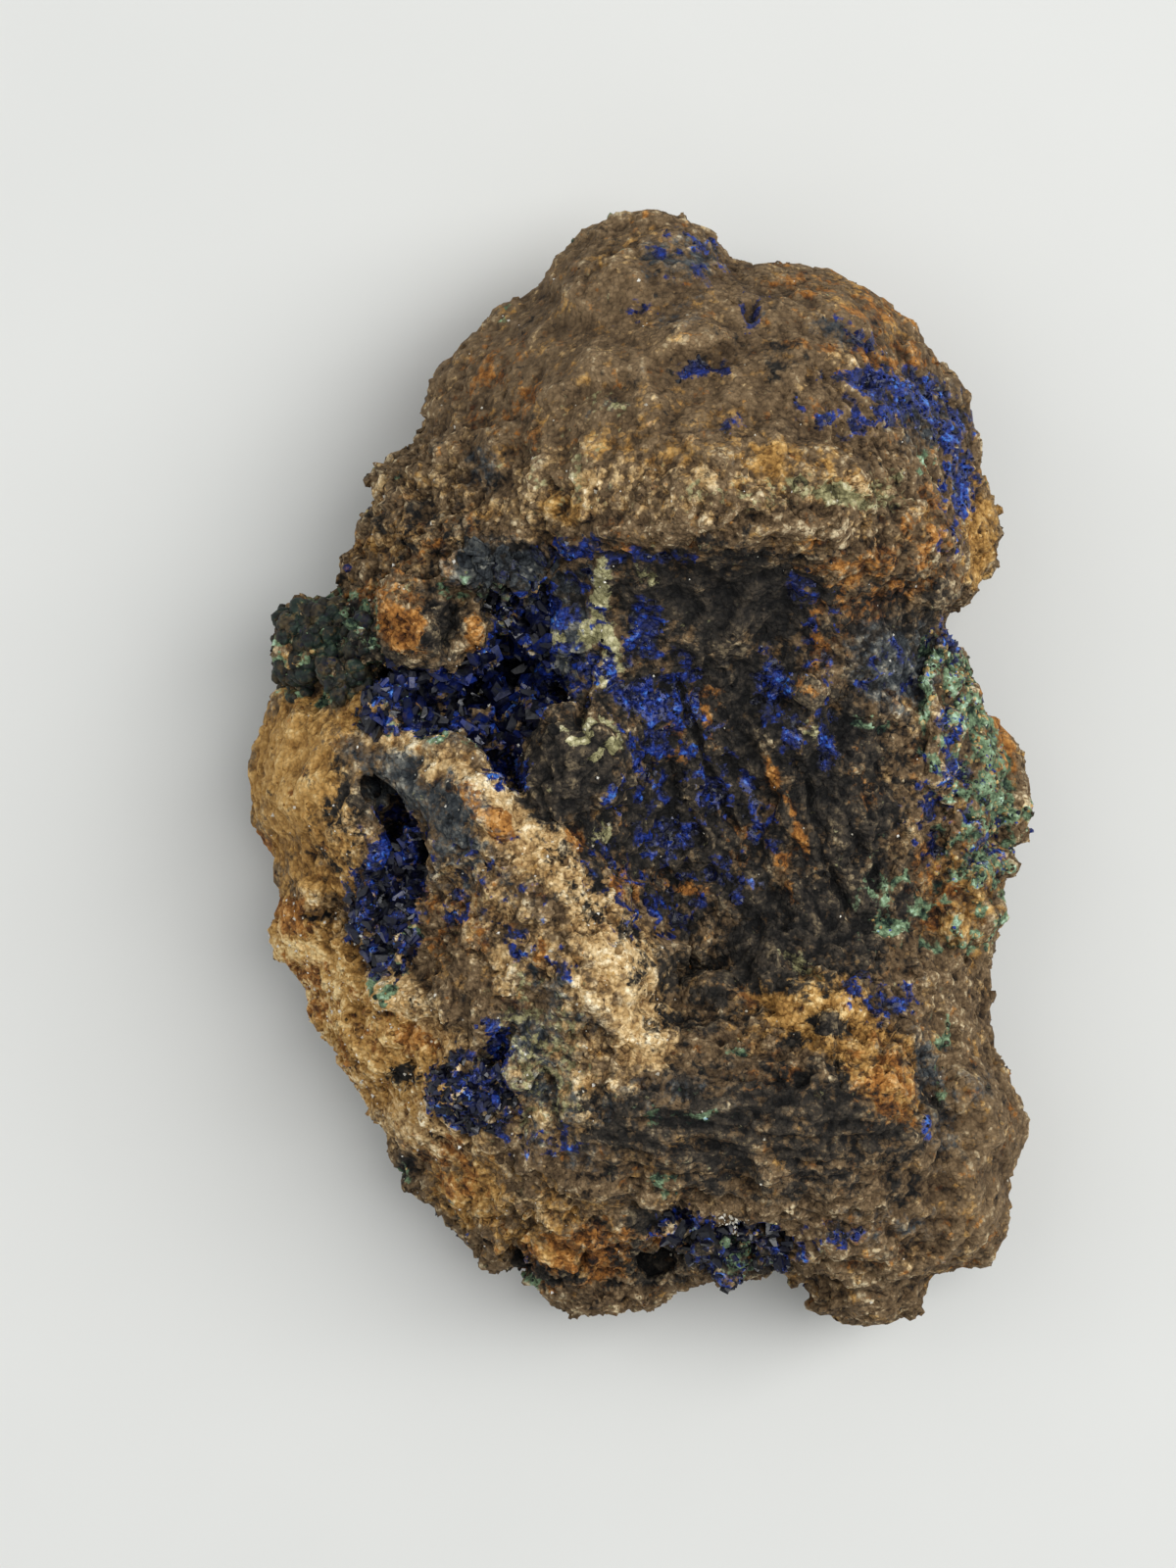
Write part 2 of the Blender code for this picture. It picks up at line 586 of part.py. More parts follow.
def off_middle(point, ellipses):
    """How far out a point lies from the middle of the nearest ellipse: 1 is on its outline."""
    x, y = seen_at(point)
    return min(math.hypot((x - px) / rx, (y - py) / ry) for px, py, rx, ry in ellipses)


def patch_column(patch, margin=0.0):
    """A wavy upright column that has the patch's outline, and a margin round it."""
    ellipses, low, high = patch
    bm = bmesh.new()
    for px, py, rx, ry in ellipses:
        made = bmesh.ops.create_cone(
            bm, cap_ends=True, segments=PATCH_SIDES, radius1=1.0, radius2=1.0, depth=high - low + 2 * margin
        )
        middle = place(px, py, (low + high) / 2)
        for vert in made["verts"]:
            wave = 1.0 + PATCH_WAVE * noise.noise(Vector((vert.co.x * 1.4, vert.co.y * 1.4, px / 9.0)))
            x = vert.co.x * (rx * wave * LENGTH / LENGTH_PX + margin)
            y = vert.co.y * (ry * wave * LENGTH / LENGTH_PX + margin)
            vert.co = middle + Vector((x, y, vert.co.z))
    column = object_from("column", bm)
    remesh(column, COLUMN_VOXEL)
    return column


def crystal(bm, root, way, half_width, length, rng):
    """One blocky crystal with a chisel tip, standing on root."""
    made = bmesh.ops.create_cone(
        bm, cap_ends=True, segments=CRYSTAL_SIDES, radius1=half_width, radius2=half_width * 0.86, depth=length
    )
    flat = rng.uniform(0.55, 0.85)
    chisel = rng.uniform(0.30, 0.55)
    turned = way.to_track_quat("Z", "Y").to_matrix() @ Matrix.Rotation(rng.uniform(0, math.pi), 3, "Z")
    for vert in made["verts"]:
        x, y, z = vert.co.x, vert.co.y * flat, vert.co.z + length * 0.35
        if vert.co.z > 0.0:
            z -= chisel * abs(y) + 0.25 * (x + half_width)
        vert.co = root + turned @ Vector((x, y, z))


def knob(bm, root, way, radius, rng):
    """One rounded knob, standing half out of the crust."""
    made = bmesh.ops.create_uvsphere(bm, u_segments=KNOB_SIDES, v_segments=KNOB_RINGS, radius=radius)
    turned = way.to_track_quat("Z", "Y").to_matrix() @ Matrix.Rotation(rng.uniform(0, math.pi), 3, "Z")
    squat = rng.uniform(0.55, 0.8)
    for vert in made["verts"]:
        vert.co = root + turned @ Vector((vert.co.x, vert.co.y * 0.85, vert.co.z * squat))


def scattered(shell, patch, count, rng):
    """Roots spread over the patch, on the shell's surface, with their outward directions."""
    mesh = shell.data
    ellipses, low, high = patch
    faces = [
        face for face in mesh.polygons
        if off_middle(face.center, ellipses) < 0.9 and low < face.center.z < high - 0.5
        and face.normal.z > STEEPEST
    ]
    areas = np.array([face.area for face in faces])
    clearance = 0.55 * math.sqrt(areas.sum() / count)
    roots = []
    for index in rng.choice(len(faces), size=count * 20, p=areas / areas.sum()):
        corners = [mesh.vertices[v].co for v in faces[index].vertices]
        shares = rng.dirichlet((1.0, 1.0, 1.0))
        at = sum((corner * float(share) for corner, share in zip(corners, shares)), Vector())
        if all((at - other).length > clearance for other, _ in roots):
            roots.append((at, faces[index].normal.copy()))
        if len(roots) == count:
            break
    return roots


def crust(name, inner, outer, patch, growths, finish, rounded=False):
    """A skin between two shells of the stone, over a patch of it, with crystals or knobs grown on it."""
    smallest, largest, count, faces = growths
    rng = np.random.default_rng(sum(map(ord, name)))
    made = object_of(name, outer.data.copy())
    boolean(made, patch_column(patch), "INTERSECT")
    bm = bmesh.new()
    bm.from_mesh(made.data)
    for at, normal in scattered(outer, patch, count, rng):
        size = rng.uniform(smallest, largest)
        lean = Vector(rng.normal(0.0, 0.35, 3)) + Vector((0.0, 0.0, 0.35))
        if rounded:
            knob(bm, at, normal, size, rng)
        else:
            crystal(bm, at, (normal + lean).normalized(), size, size * rng.uniform(2.0, 2.8), rng)
    bm.to_mesh(made.data)
    bm.free()
    remesh(made, GROWTH_VOXEL)
    decimate(made, faces)
    core = object_of("core", inner.data.copy())
    boolean(core, patch_column(patch, margin=4.0), "INTERSECT")
    boolean(made, core, "DIFFERENCE")
    largest_body(made)
    made.data.name = name
    made.data.materials.clear()
    made.data.materials.append(finish)
    return made


def to_metres(objects):
    """Scales everything from millimetres and stands it on the origin, under the middle of the whole."""
    corners = np.array([v.co for obj in objects for v in obj.data.vertices])
    middle = (corners.min(axis=0) + corners.max(axis=0)) / 2
    shift = Matrix.Translation((-middle[0], -middle[1], -corners[:, 2].min()))
    for obj in objects:
        obj.data.transform(Matrix.Scale(MM, 4) @ shift)
        obj.data.update()


def main():
    clear_scene()
    azurite, malachite, rock = material(*AZURITE), material(*MALACHITE), material(*STONE)
    stone, inner, outer = make_stone()
    stone.data.materials.clear()
    stone.data.materials.append(rock)
    nodes = [
        stone,
        crust("vug_azurite", inner, outer, VUG_PATCH, VUG_CRYSTALS, azurite),
        crust("crevice_azurite", inner, outer, CREVICE_PATCH, CREVICE_CRYSTALS, azurite),
        crust("pocket_azurite", inner, outer, POCKET_PATCH, POCKET_CRYSTALS, azurite),
        crust("rim_azurite", inner, outer, RIM_PATCH, RIM_CRYSTALS, azurite),
        crust("flank_malachite", inner, outer, FLANK_PATCH, FLANK_KNOBS, malachite, rounded=True),
        crust("left_malachite", inner, outer, LEFT_PATCH, LEFT_KNOBS, malachite, rounded=True),
    ]
    bpy.data.objects.remove(inner)
    bpy.data.objects.remove(outer)
    to_metres(nodes)


main()
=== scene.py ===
"""The looks of the azurite and malachite specimen: crumbly stone, blue crystals and green crusts.

Places on the stone are named by the photograph's pixels, as seen from the camera above it, and sizes are in
millimetres. The stone's surface carries one weight for each mineral, which the material and the scattered
grains both read.
"""

import math

import bpy
import numpy as np
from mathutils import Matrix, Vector, noise
from mathutils.bvhtree import BVHTree


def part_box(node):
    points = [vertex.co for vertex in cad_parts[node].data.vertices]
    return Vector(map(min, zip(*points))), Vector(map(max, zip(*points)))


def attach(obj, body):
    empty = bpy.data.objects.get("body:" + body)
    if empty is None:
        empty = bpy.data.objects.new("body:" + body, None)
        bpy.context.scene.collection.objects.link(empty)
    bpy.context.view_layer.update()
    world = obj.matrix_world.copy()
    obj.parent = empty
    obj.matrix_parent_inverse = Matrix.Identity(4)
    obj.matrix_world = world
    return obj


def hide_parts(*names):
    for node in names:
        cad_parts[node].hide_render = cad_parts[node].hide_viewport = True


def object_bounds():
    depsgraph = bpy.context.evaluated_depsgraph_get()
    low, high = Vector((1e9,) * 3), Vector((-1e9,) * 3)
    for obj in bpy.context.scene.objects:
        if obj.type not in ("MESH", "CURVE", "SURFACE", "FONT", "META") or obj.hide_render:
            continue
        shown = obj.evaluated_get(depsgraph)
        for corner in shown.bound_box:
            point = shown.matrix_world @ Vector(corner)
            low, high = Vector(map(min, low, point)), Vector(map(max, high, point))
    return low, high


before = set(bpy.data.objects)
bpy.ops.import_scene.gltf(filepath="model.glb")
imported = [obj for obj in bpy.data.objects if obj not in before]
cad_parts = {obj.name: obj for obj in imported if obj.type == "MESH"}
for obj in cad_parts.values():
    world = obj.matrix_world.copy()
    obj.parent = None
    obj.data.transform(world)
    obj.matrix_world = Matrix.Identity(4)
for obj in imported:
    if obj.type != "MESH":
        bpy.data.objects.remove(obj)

cad_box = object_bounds()

MM = 0.001

# The camera, and how it sees the stone.
PHOTO_SIZE = (1200.0, 1600.0)
EYE = Vector((-0.00437, -0.00084, 0.430))
OUTLINE_HEIGHT = 15.0 * MM  # how high the stone's outline lies
PIXEL = 90.0 / 1127.0 * MM  # what one pixel spans at the height of the outline
SENSOR = 36.0

# How the stone's surface is made, in millimetres where nothing else is said.
STONE_VOXEL = 0.30
STONE_FACES = 194000
STONE_SMOOTHING = 5
PRESSED = 0.8  # crust points this near the stone are pressed into it
SEAT_DEPTH = 0.3  # how far they are pressed in
FLAT_FOOT = 1.2  # the relief fades out this near the table
MERGED = 1e-6  # points this near each other are one point, in metres
TINY = 1e-20  # nothing is divided by a length below this

# Relief: how far it stands out and how wide it is, in millimetres.
BLOCKS = ((0.85, 4.8), (0.62, 2.3), (0.36, 1.15))
LUMPS = (0.45, 2.8)
GRIT = (0.20, 0.66)
PITS = (1.0, 2.3)
BEDDING = (0.78, 1.05)
STRIATIONS = (0.60, 1.30)
COARSER = 0.7  # what coarse places add to the relief
CALMER = 0.7  # what calm places take from it
BEDS_WAY = (1.0, -0.12)  # the way in plan that the beds run, and the striations
STRIATIONS_WAY = (0.42, -0.91)
NARROW = 0.15  # how narrow both are for their length

# The nodes that the crusts stand for: how many growths each has, their least and greatest half-widths in
# millimetres, then how blue the stone is beside the crystals and how bright they are, or the knobs' shades.
BLUE_NODES = {
    "vug_azurite": (1300, 0.16, 0.95, 0.56, 0.85), "crevice_azurite": (520, 0.14, 0.70, 0.54, 0.75),
    "pocket_azurite": (330, 0.12, 0.52, 0.50, 0.60), "rim_azurite": (260, 0.14, 0.70, 0.40, 0.45),
}
GREEN_NODES = {
    # the left knobs' low shades are partly their own dark green and partly painted shade
    "flank_malachite": (750, 0.10, 0.34, (0.1, 0.9)), "left_malachite": (520, 0.22, 1.05, (0.0, 0.24)),
}
CRUST_REACH = 1.4  # the stone this near a crust is stained by it, in millimetres
GREEN_STAIN = 0.28  # how green it is beside the knobs

# Loose bits: how many there are, and their least and greatest half-widths in millimetres.
SAND_GRAINS = (24000, 0.07, 0.25)
CRUMBS = (6500, 0.16, 0.72)
FLAKES = (240, 0.4, 1.3)
BLUE_GRAINS = (8000, 0.10, 0.32)
GREEN_GRAINS = (3000, 0.10, 0.32)
QUARTZ_GRAINS = (1700, 0.07, 0.22)
MOSTLY_SMALL = 2.4  # the power that makes large crumbs and crystals rare
SEED = 20

# The room: where each lamp is, in metres, its width, length and power, then the sky and the table top.
LAMPS = {
    "window": ((0.36, 0.10, 0.63), 0.34, 0.80, 4.4), "wall": ((-0.50, 0.10, 0.48), 0.50, 0.90, 1.15),
}
SKY_COLOUR = (0.96, 0.98, 1.0, 1.0)
SKY_POWER = 0.43
TABLE_WIDTH = 9.0
PAPER_TONES = ((0.3, (0.705, 0.71, 0.685)), (0.7, (0.725, 0.73, 0.705)))


def chain(much, half_width, *path):
    """Places along a path of pixels, each as the ellipses below are, that overlap a little."""
    overlap = 0.6 * half_width
    rows = []
    for (x0, y0), (x1, y1) in zip(path, path[1:]):
        half_length = math.hypot(x1 - x0, y1 - y0) / 2 + overlap
        turn = math.degrees(math.atan2(y1 - y0, x1 - x0))
        rows.append(((x0 + x1) / 2, (y0 + y1) / 2, half_length, half_width, much, turn))
    return tuple(rows)


# The pale crust on the face beside the large hollow, and its lacy thread on the dark block.
PALE_CRUST = ((613, 575), (618, 602), (608, 634), (628, 664), (617, 694))
THREAD = chain(1.25, 3.2, (572, 744), (578, 757), (590, 761), (601, 752), (597, 739), (611, 731), (626, 738),
               (634, 750), (624, 762), (612, 769), (600, 775))

# Places of each mineral, in pixels: the middle, two half-widths, the mineral's share and, where the place is
# turned, its clockwise turn in degrees.
AZURITE = (
    # the upper lobe
    (700, 262, 34, 20, 0.34, 20), (765, 318, 10, 15, 0.85), (648, 322, 18, 10, 0.38),
    (717, 374, 19, 11, 0.74), (747, 428, 12, 12, 0.48), (876, 345, 24, 10, 0.56, 40),
    (893, 388, 36, 11, 1.1, 5), (928, 406, 42, 22, 1.04, 15), (972, 436, 17, 24, 0.9, 10),
    (978, 492, 14, 32, 0.92), (972, 535, 14, 26, 0.48), (862, 424, 38, 16, 0.46),
    # the face beside the large hollow
    (640, 568, 50, 8, 1.0), (566, 622, 36, 44, 0.52), (547, 698, 12, 26, 1.1), (658, 645, 16, 30, 1.25),
    (662, 716, 34, 22, 0.96, 20), (663, 762, 24, 36, 0.66), (600, 690, 50, 22, 0.52),
    (520, 786, 18, 20, 0.84), (398, 698, 18, 10, 0.7), (520, 605, 18, 30, 0.5),
    (440, 735, 60, 14, 0.42, 10), (590, 560, 30, 10, 0.66),
    # the dark middle
    (730, 810, 11, 27, 0.86, -12), (758, 800, 10, 10, 0.96), (684, 856, 27, 17, 0.86),
    (786, 697, 15, 29, 0.94, -8), (808, 755, 11, 22, 0.78), (843, 755, 10, 28, 0.74),
    (806, 733, 22, 8, 0.66), (660, 812, 32, 26, 0.38), (700, 780, 50, 60, 0.18, -20),
    (737, 900, 32, 22, 0.36), (660, 926, 40, 34, 0.36), (775, 843, 14, 22, 0.58, -20),
    (840, 650, 20, 40, 0.3), (815, 600, 11, 18, 0.52), (898, 1020, 30, 19, 0.56, 10),
    (700, 700, 14, 26, 0.6, -20), (615, 880, 22, 26, 0.26),
    # the left side and the pockets
    (398, 905, 30, 62, 0.9, 8), (404, 835, 13, 17, 0.74), (530, 962, 15, 14, 0.6), (470, 930, 14, 20, 0.56),
    (572, 986, 14, 16, 0.54), (486, 1108, 27, 32, 0.8, -25), (508, 1068, 13, 24, 0.9),
    (560, 1166, 44, 14, 0.3), (500, 905, 60, 60, 0.12), (705, 1246, 16, 12, 0.74, 8),
    (778, 1262, 14, 14, 0.6, 8), (851, 1258, 24, 14, 0.44), (947, 1150, 5, 9, 0.5),
    # the right flank
    (970, 652, 17, 14, 0.95, 20), (968, 742, 13, 18, 0.72), (968, 785, 16, 22, 0.52),
    (905, 682, 28, 22, 0.34), (1000, 850, 20, 50, 0.3), (960, 830, 30, 50, 0.28),
)
MALACHITE = (
    (330, 646, 44, 38, 0.78), (290, 680, 20, 20, 0.6), (312, 694, 34, 9, 0.56, -15),
    (404, 708, 14, 10, 0.76), (343, 714, 15, 7, 0.6, -30), (430, 745, 46, 14, 0.36, 15),
    (419, 955, 9, 9, 0.96), (390, 1007, 14, 11, 0.74), (408, 982, 14, 10, 0.52),
    *chain(0.86, 17, (964, 668), (984, 705), (1000, 750), (1016, 800), (1018, 850)),
    (1002, 875, 30, 34, 0.7), (990, 790, 34, 60, 0.4), (888, 739, 20, 9, 0.78, 8), (904, 912, 26, 46, 0.26),
    (911, 946, 16, 10, 0.84), (962, 940, 36, 28, 0.32), (944, 467, 11, 12, 0.68), (962, 1075, 12, 50, 0.22),
    (690, 1128, 60, 22, 0.14), (751, 1071, 9, 9, 0.62), (672, 1211, 12, 10, 0.7), (752, 1282, 22, 18, 0.8),
    (518, 323, 8, 7, 0.66), (408, 1196, 12, 8, 0.66, 30), (545, 1307, 10, 8, 0.88), (470, 600, 28, 8, 0.4),
)
OCHRE = (
    (300, 792, 54, 98, 0.88), (330, 880, 52, 40, 0.7), (300, 715, 30, 18, 0.6, -20),
    (362, 722, 12, 30, 0.9, 20), (832, 1034, 52, 38, 0.9, 10), (872, 1068, 30, 30, 0.8),
    (912, 1092, 34, 62, 0.66, -18), (575, 1262, 100, 52, 0.48, 12), (480, 1215, 44, 32, 0.76, 45),
    (795, 470, 66, 22, 0.56, 8), (700, 470, 90, 30, 0.34), (855, 490, 50, 14, 0.52, 12),
    (575, 520, 26, 18, 0.58), (999, 545, 15, 62, 0.8), (985, 905, 46, 80, 0.52),
    (1000, 1190, 46, 110, 0.24), (870, 300, 80, 36, 0.4, 30),
    (350, 905, 36, 18, 0.78), (700, 1180, 160, 30, 0.28), (400, 560, 60, 40, 0.3), (765, 1020, 24, 16, 0.6),
    # the left slope's places here, of more than full share, make it paler: partly its own pale ochre and
    # partly painted light on a side that faces away from the lamps
    (326, 1000, 90, 46, 1.2, 48), (396, 1076, 70, 44, 1.0, 48), (640, 455, 60, 26, 0.42),
    (300, 930, 30, 20, 0.6), *chain(0.66, 8, (745, 452), (800, 462), (850, 480), (890, 498)),
)
RUST = (
    (408, 642, 26, 24, 0.88), (484, 648, 10, 20, 0.74), (395, 612, 46, 22, 0.46),
    *chain(0.92, 11, (463, 803), (492, 822), (520, 852)), (548, 972, 8, 15, 0.76), (265, 862, 12, 12, 0.85),
    (290, 925, 22, 12, 0.76), (298, 945, 26, 22, 0.5), *chain(0.86, 6, (776, 764), (800, 812), (834, 886)),
    *chain(0.86, 9, (716, 705), (728, 760)), (735, 715, 30, 14, 0.7, 40), (700, 905, 40, 12, 0.72, 5),
    (765, 848, 12, 16, 0.66), (766, 802, 30, 12, 0.5, 15), (590, 857, 10, 18, 0.66),
    (658, 893, 44, 22, 0.6, 5), (880, 585, 84, 34, 0.54), (885, 628, 34, 30, 0.54),
    (838, 640, 16, 60, 0.52), (712, 705, 18, 16, 0.54),
    *chain(0.74, 15, (1010, 700), (1018, 750), (1030, 790)), (905, 360, 70, 18, 0.5, 8),
    (870, 300, 90, 36, 0.42, 25), (385, 1050, 100, 56, 0.34, 48), (420, 1060, 30, 20, 0.66, 40),
    (315, 1010, 20, 40, 0.66, -30), (690, 760, 16, 40, 0.6, -20), (750, 860, 22, 50, 0.62, -25),
    (640, 905, 30, 16, 0.66), (806, 905, 12, 46, 0.7, -25), (880, 800, 16, 60, 0.52, -15),
    (435, 1068, 22, 14, 0.66), (905, 1110, 40, 50, 0.6, -20), (600, 1280, 80, 36, 0.66),
    (675, 1264, 24, 10, 0.7), (460, 1190, 60, 30, 0.48, 40), (950, 900, 40, 60, 0.44),
    (950, 540, 34, 40, 0.46), (740, 1010, 30, 20, 0.36), (800, 1100, 60, 30, 0.42), (450, 565, 60, 40, 0.4),
    (818, 702, 14, 11, 0.8), (560, 690, 20, 12, 0.44), (470, 930, 50, 50, 0.42), (900, 1270, 120, 40, 0.26),
    (640, 840, 60, 60, 0.26), (930, 700, 26, 30, 0.4), (700, 560, 200, 20, 0.26),
    (510, 400, 60, 70, 0.34, -30),
)
SAND = (
    *chain(0.88, 20, (384, 752), (430, 758), (454, 790)),
    *chain(1.0, 30, (470, 806), (530, 842), (580, 892), (622, 950), (655, 1012)), (660, 1050, 32, 36, 0.94),
    (600, 1030, 50, 46, 0.56, 40), (496, 905, 50, 56, 0.6), (540, 975, 50, 44, 0.62, 30),
    # the left slope's places here, of more than full share, make it paler: partly its own pale sand and
    # partly painted light on a side that faces away from the lamps
    (300, 965, 40, 40, 1.25), (345, 1010, 84, 60, 1.25, 48), (395, 1080, 84, 60, 1.15, 48),
    (450, 1150, 60, 40, 0.7, 42), (575, 1110, 74, 60, 0.62), (700, 500, 180, 34, 0.4),
    (600, 492, 14, 12, 0.86), (560, 500, 70, 50, 0.42), (870, 505, 60, 14, 0.5, -3),
    (345, 852, 34, 50, 0.62), (300, 790, 46, 90, 0.3),
    (545, 1235, 80, 24, 0.4, 10), (940, 1290, 60, 24, 0.2), (420, 530, 70, 60, 0.42),
    (890, 370, 70, 20, 0.42, 6), (760, 1070, 24, 14, 0.5), (930, 800, 40, 100, 0.3),
)
VEIN = (
    *THREAD, *chain(0.9, 9, *PALE_CRUST),
    (600, 647, 16, 16, 0.8), (566, 652, 12, 8, 0.74), (660, 588, 12, 10, 0.6), (548, 1080, 60, 80, 0.42),
    (620, 412, 30, 14, 0.4), (855, 506, 44, 11, 0.66, 12), (905, 500, 24, 22, 0.4),
    (740, 508, 90, 18, 0.34), (617, 850, 12, 16, 0.52), (818, 986, 24, 8, 0.56, 35),
    (580, 480, 60, 50, 0.28), (400, 600, 22, 8, 0.4), (830, 750, 14, 14, 0.4),
    *chain(0.66, 8, (790, 488), (850, 504), (892, 516)),
)
SLATE = (
    (512, 580, 48, 26, 1.05), (572, 640, 40, 60, 1.0), (590, 600, 60, 30, 0.56),
    *chain(0.68, 36, (380, 778), (430, 804), (478, 852)), (474, 874, 40, 36, 0.6), (912, 675, 44, 40, 1.1),
    (945, 425, 44, 34, 0.6, 20), (548, 1080, 60, 76, 0.58), (600, 1150, 70, 40, 0.44),
    (690, 1125, 110, 34, 0.48), (950, 1110, 22, 66, 0.56, -12), (623, 412, 18, 9, 0.54),
    (490, 480, 14, 22, 0.56), (388, 980, 17, 18, 0.8), (368, 690, 18, 12, 0.74),
    (430, 745, 44, 14, 0.6, 15), (500, 900, 36, 50, 0.34), (900, 1250, 60, 30, 0.34),
    (700, 262, 40, 26, 0.56), (560, 1010, 36, 34, 0.48), (1000, 1110, 24, 24, 0.36),
    (460, 745, 36, 30, 0.36), (690, 325, 24, 16, 0.42), (850, 338, 34, 14, 0.46, 30),
)
# The small dark spots that sit in the sunken dents and in the large hollow's black mouth are painted shade.
# The dark gaps between the ochre scree's lumps, and the thin bands under the upper lobe's lip with the wall
# below them, are partly the stone's dark coating and partly painted shade. The rest is the stone's own dark
# coating.
SOOT_AND_SHADE = (
    (735, 614, 150, 54, 0.9), (578, 782, 54, 60, 1.0, 5), (735, 740, 120, 110, 0.86),
    (700, 850, 120, 100, 0.84), (725, 995, 84, 48, 0.66), (860, 800, 76, 120, 0.76),
    (790, 1008, 16, 9, 0.9), (846, 1044, 24, 11, 0.92, 10), (812, 1060, 16, 10, 0.86),
    (700, 1160, 150, 50, 0.62), (655, 1245, 24, 14, 0.9), (720, 1275, 60, 26, 0.86, 5),
    (560, 1296, 14, 10, 0.8), (850, 920, 84, 90, 0.78), (790, 945, 70, 70, 0.86), (508, 612, 24, 20, 0.95),
    (516, 655, 18, 36, 0.95), (412, 686, 40, 10, 0.9), (400, 860, 14, 26, 0.9), (410, 1095, 18, 17, 0.66),
    (415, 1195, 20, 18, 0.66), (655, 1290, 46, 26, 0.9), (565, 1302, 30, 14, 0.8), (415, 545, 90, 66, 0.42),
    (780, 1210, 150, 20, 0.52, -3), (530, 1290, 14, 18, 0.74), (770, 1290, 50, 20, 0.56),
    (790, 1140, 180, 66, 0.7), (897, 895, 11, 14, 0.9), (740, 566, 150, 9, 0.62), (905, 620, 80, 66, 0.6),
    (345, 850, 34, 50, 0.44), (350, 650, 46, 42, 0.8), (942, 1090, 10, 60, 0.55, -12),
    (352, 835, 28, 64, 0.54), (765, 318, 8, 10, 0.7), (560, 1100, 50, 60, 0.3), (640, 950, 10, 12, 0.8),
    (470, 545, 80, 36, 0.4), (920, 1190, 26, 60, 0.42), (325, 936, 20, 5, 0.84),
    (870, 1050, 24, 12, 0.6, 20), (540, 560, 80, 8, 0.6), (525, 602, 40, 8, 1.0),
    (940, 410, 50, 30, 0.56, 20), (800, 366, 30, 22, 0.52), (500, 492, 16, 18, 0.5),
    (600, 1275, 70, 30, 0.5), (445, 640, 30, 44, 0.76), (395, 668, 26, 10, 0.8), (455, 612, 50, 14, 0.5),
    (850, 1080, 12, 16, 0.66), (700, 1040, 50, 14, 0.6),
)
MINERALS = {
    "sand": SAND, "ochre": OCHRE, "rust": RUST, "slate": SLATE, "soot": SOOT_AND_SHADE, "vein": VEIN,
    "malachite": MALACHITE, "azurite": AZURITE,
}

# How much of each mineral there is all over the seen side.
EVERYWHERE = {
    "sand": 0.14, "ochre": 0.20, "rust": 0.13, "slate": 0.04, "soot": 0.18, "vein": 0.04, "malachite": 0.0,
    "azurite": 0.0,
}

# Where no pixel tells, on the back and underneath: how wide each mineral's patches are, in millimetres, and
# how common they are.
UNSEEN = {
    "sand": (12.0, 0.36), "ochre": (13.0, 0.36), "rust": (10.0, 0.30), "slate": (14.0, 0.24),
    "soot": (11.0, 0.34), "vein": (8.0, 0.14), "malachite": (9.0, 0.16), "azurite": (7.0, 0.16),
}

# Where the surface is broken more coarsely, or is calm, or shows its beds or its striations.
COARSE = (
    (415, 540, 80, 70, 1.0), (560, 1270, 110, 50, 0.9, 10), (850, 1060, 100, 60, 0.9, 20),
    (330, 650, 50, 50, 0.5), (740, 1270, 90, 40, 0.8), (900, 580, 90, 60, 0.6), (740, 505, 200, 40, 0.4),
    (500, 1000, 120, 120, 0.4), (430, 640, 60, 40, 1.0),
)
CALM = (
    (640, 350, 200, 110, 1.0), (296, 790, 50, 90, 0.7), (720, 995, 90, 40, 0.6), (740, 615, 160, 40, 0.5),
    (990, 1190, 60, 110, 0.7), (870, 300, 90, 50, 0.9, 25), (760, 1150, 190, 56, 0.6),
    (430, 805, 60, 40, 0.4, 30), (1015, 750, 20, 60, 0.8),
)
BEDDED = (
    (760, 1150, 210, 80, 1.0), (512, 580, 56, 30, 0.9), (900, 1270, 130, 60, 0.8),
    (560, 1270, 110, 50, 0.6, 10), (850, 500, 90, 24, 0.4, 5),
)
STRIATED = ((800, 860, 130, 170, 0.9, -25), (930, 1100, 50, 110, 0.7, -15), (700, 780, 80, 100, 0.5, -20))

# Small knolls and dents, as above, by how many millimetres they stand out or lie in.
RAISED = (
    (816, 701, 13, 10, 1.2, 10), *chain(0.5, 11, *PALE_CRUST),
    *chain(0.7, 24, (470, 800), (530, 836), (580, 886), (622, 944), (655, 1006)),
    (578, 790, 44, 46, 0.3, 5), (415, 640, 28, 28, 0.5), (480, 646, 12, 20, 0.6), (724, 985, 70, 34, 1.3),
    (660, 1052, 30, 24, 0.6), (832, 1030, 40, 24, 0.6, 10),
)
SUNKEN = (
    (765, 318, 8, 11, 0.9), (895, 387, 14, 6, 0.8), (897, 895, 9, 12, 1.2), (640, 950, 9, 9, 0.8),
    (325, 936, 18, 5, 0.8), (410, 687, 34, 6, 1.4), (508, 612, 20, 14, 1.6), (516, 655, 12, 28, 1.6),
    (401, 860, 10, 20, 1.4), (410, 1095, 13, 12, 0.8), (415, 1195, 14, 11, 0.8), (530, 1290, 9, 15, 1.0),
    (668, 1287, 18, 18, 1.0), (700, 1040, 44, 8, 0.8), (870, 1050, 20, 8, 0.8, 20), (850, 1082, 9, 12, 0.8),
    (457, 640, 5, 26, 1.2), *chain(0.9, 5, (600, 700), (590, 740), (626, 770)),
    *chain(0.8, 5, (690, 700), (716, 770), (752, 850)), *chain(0.8, 5, (826, 800), (842, 870), (866, 930)),
)

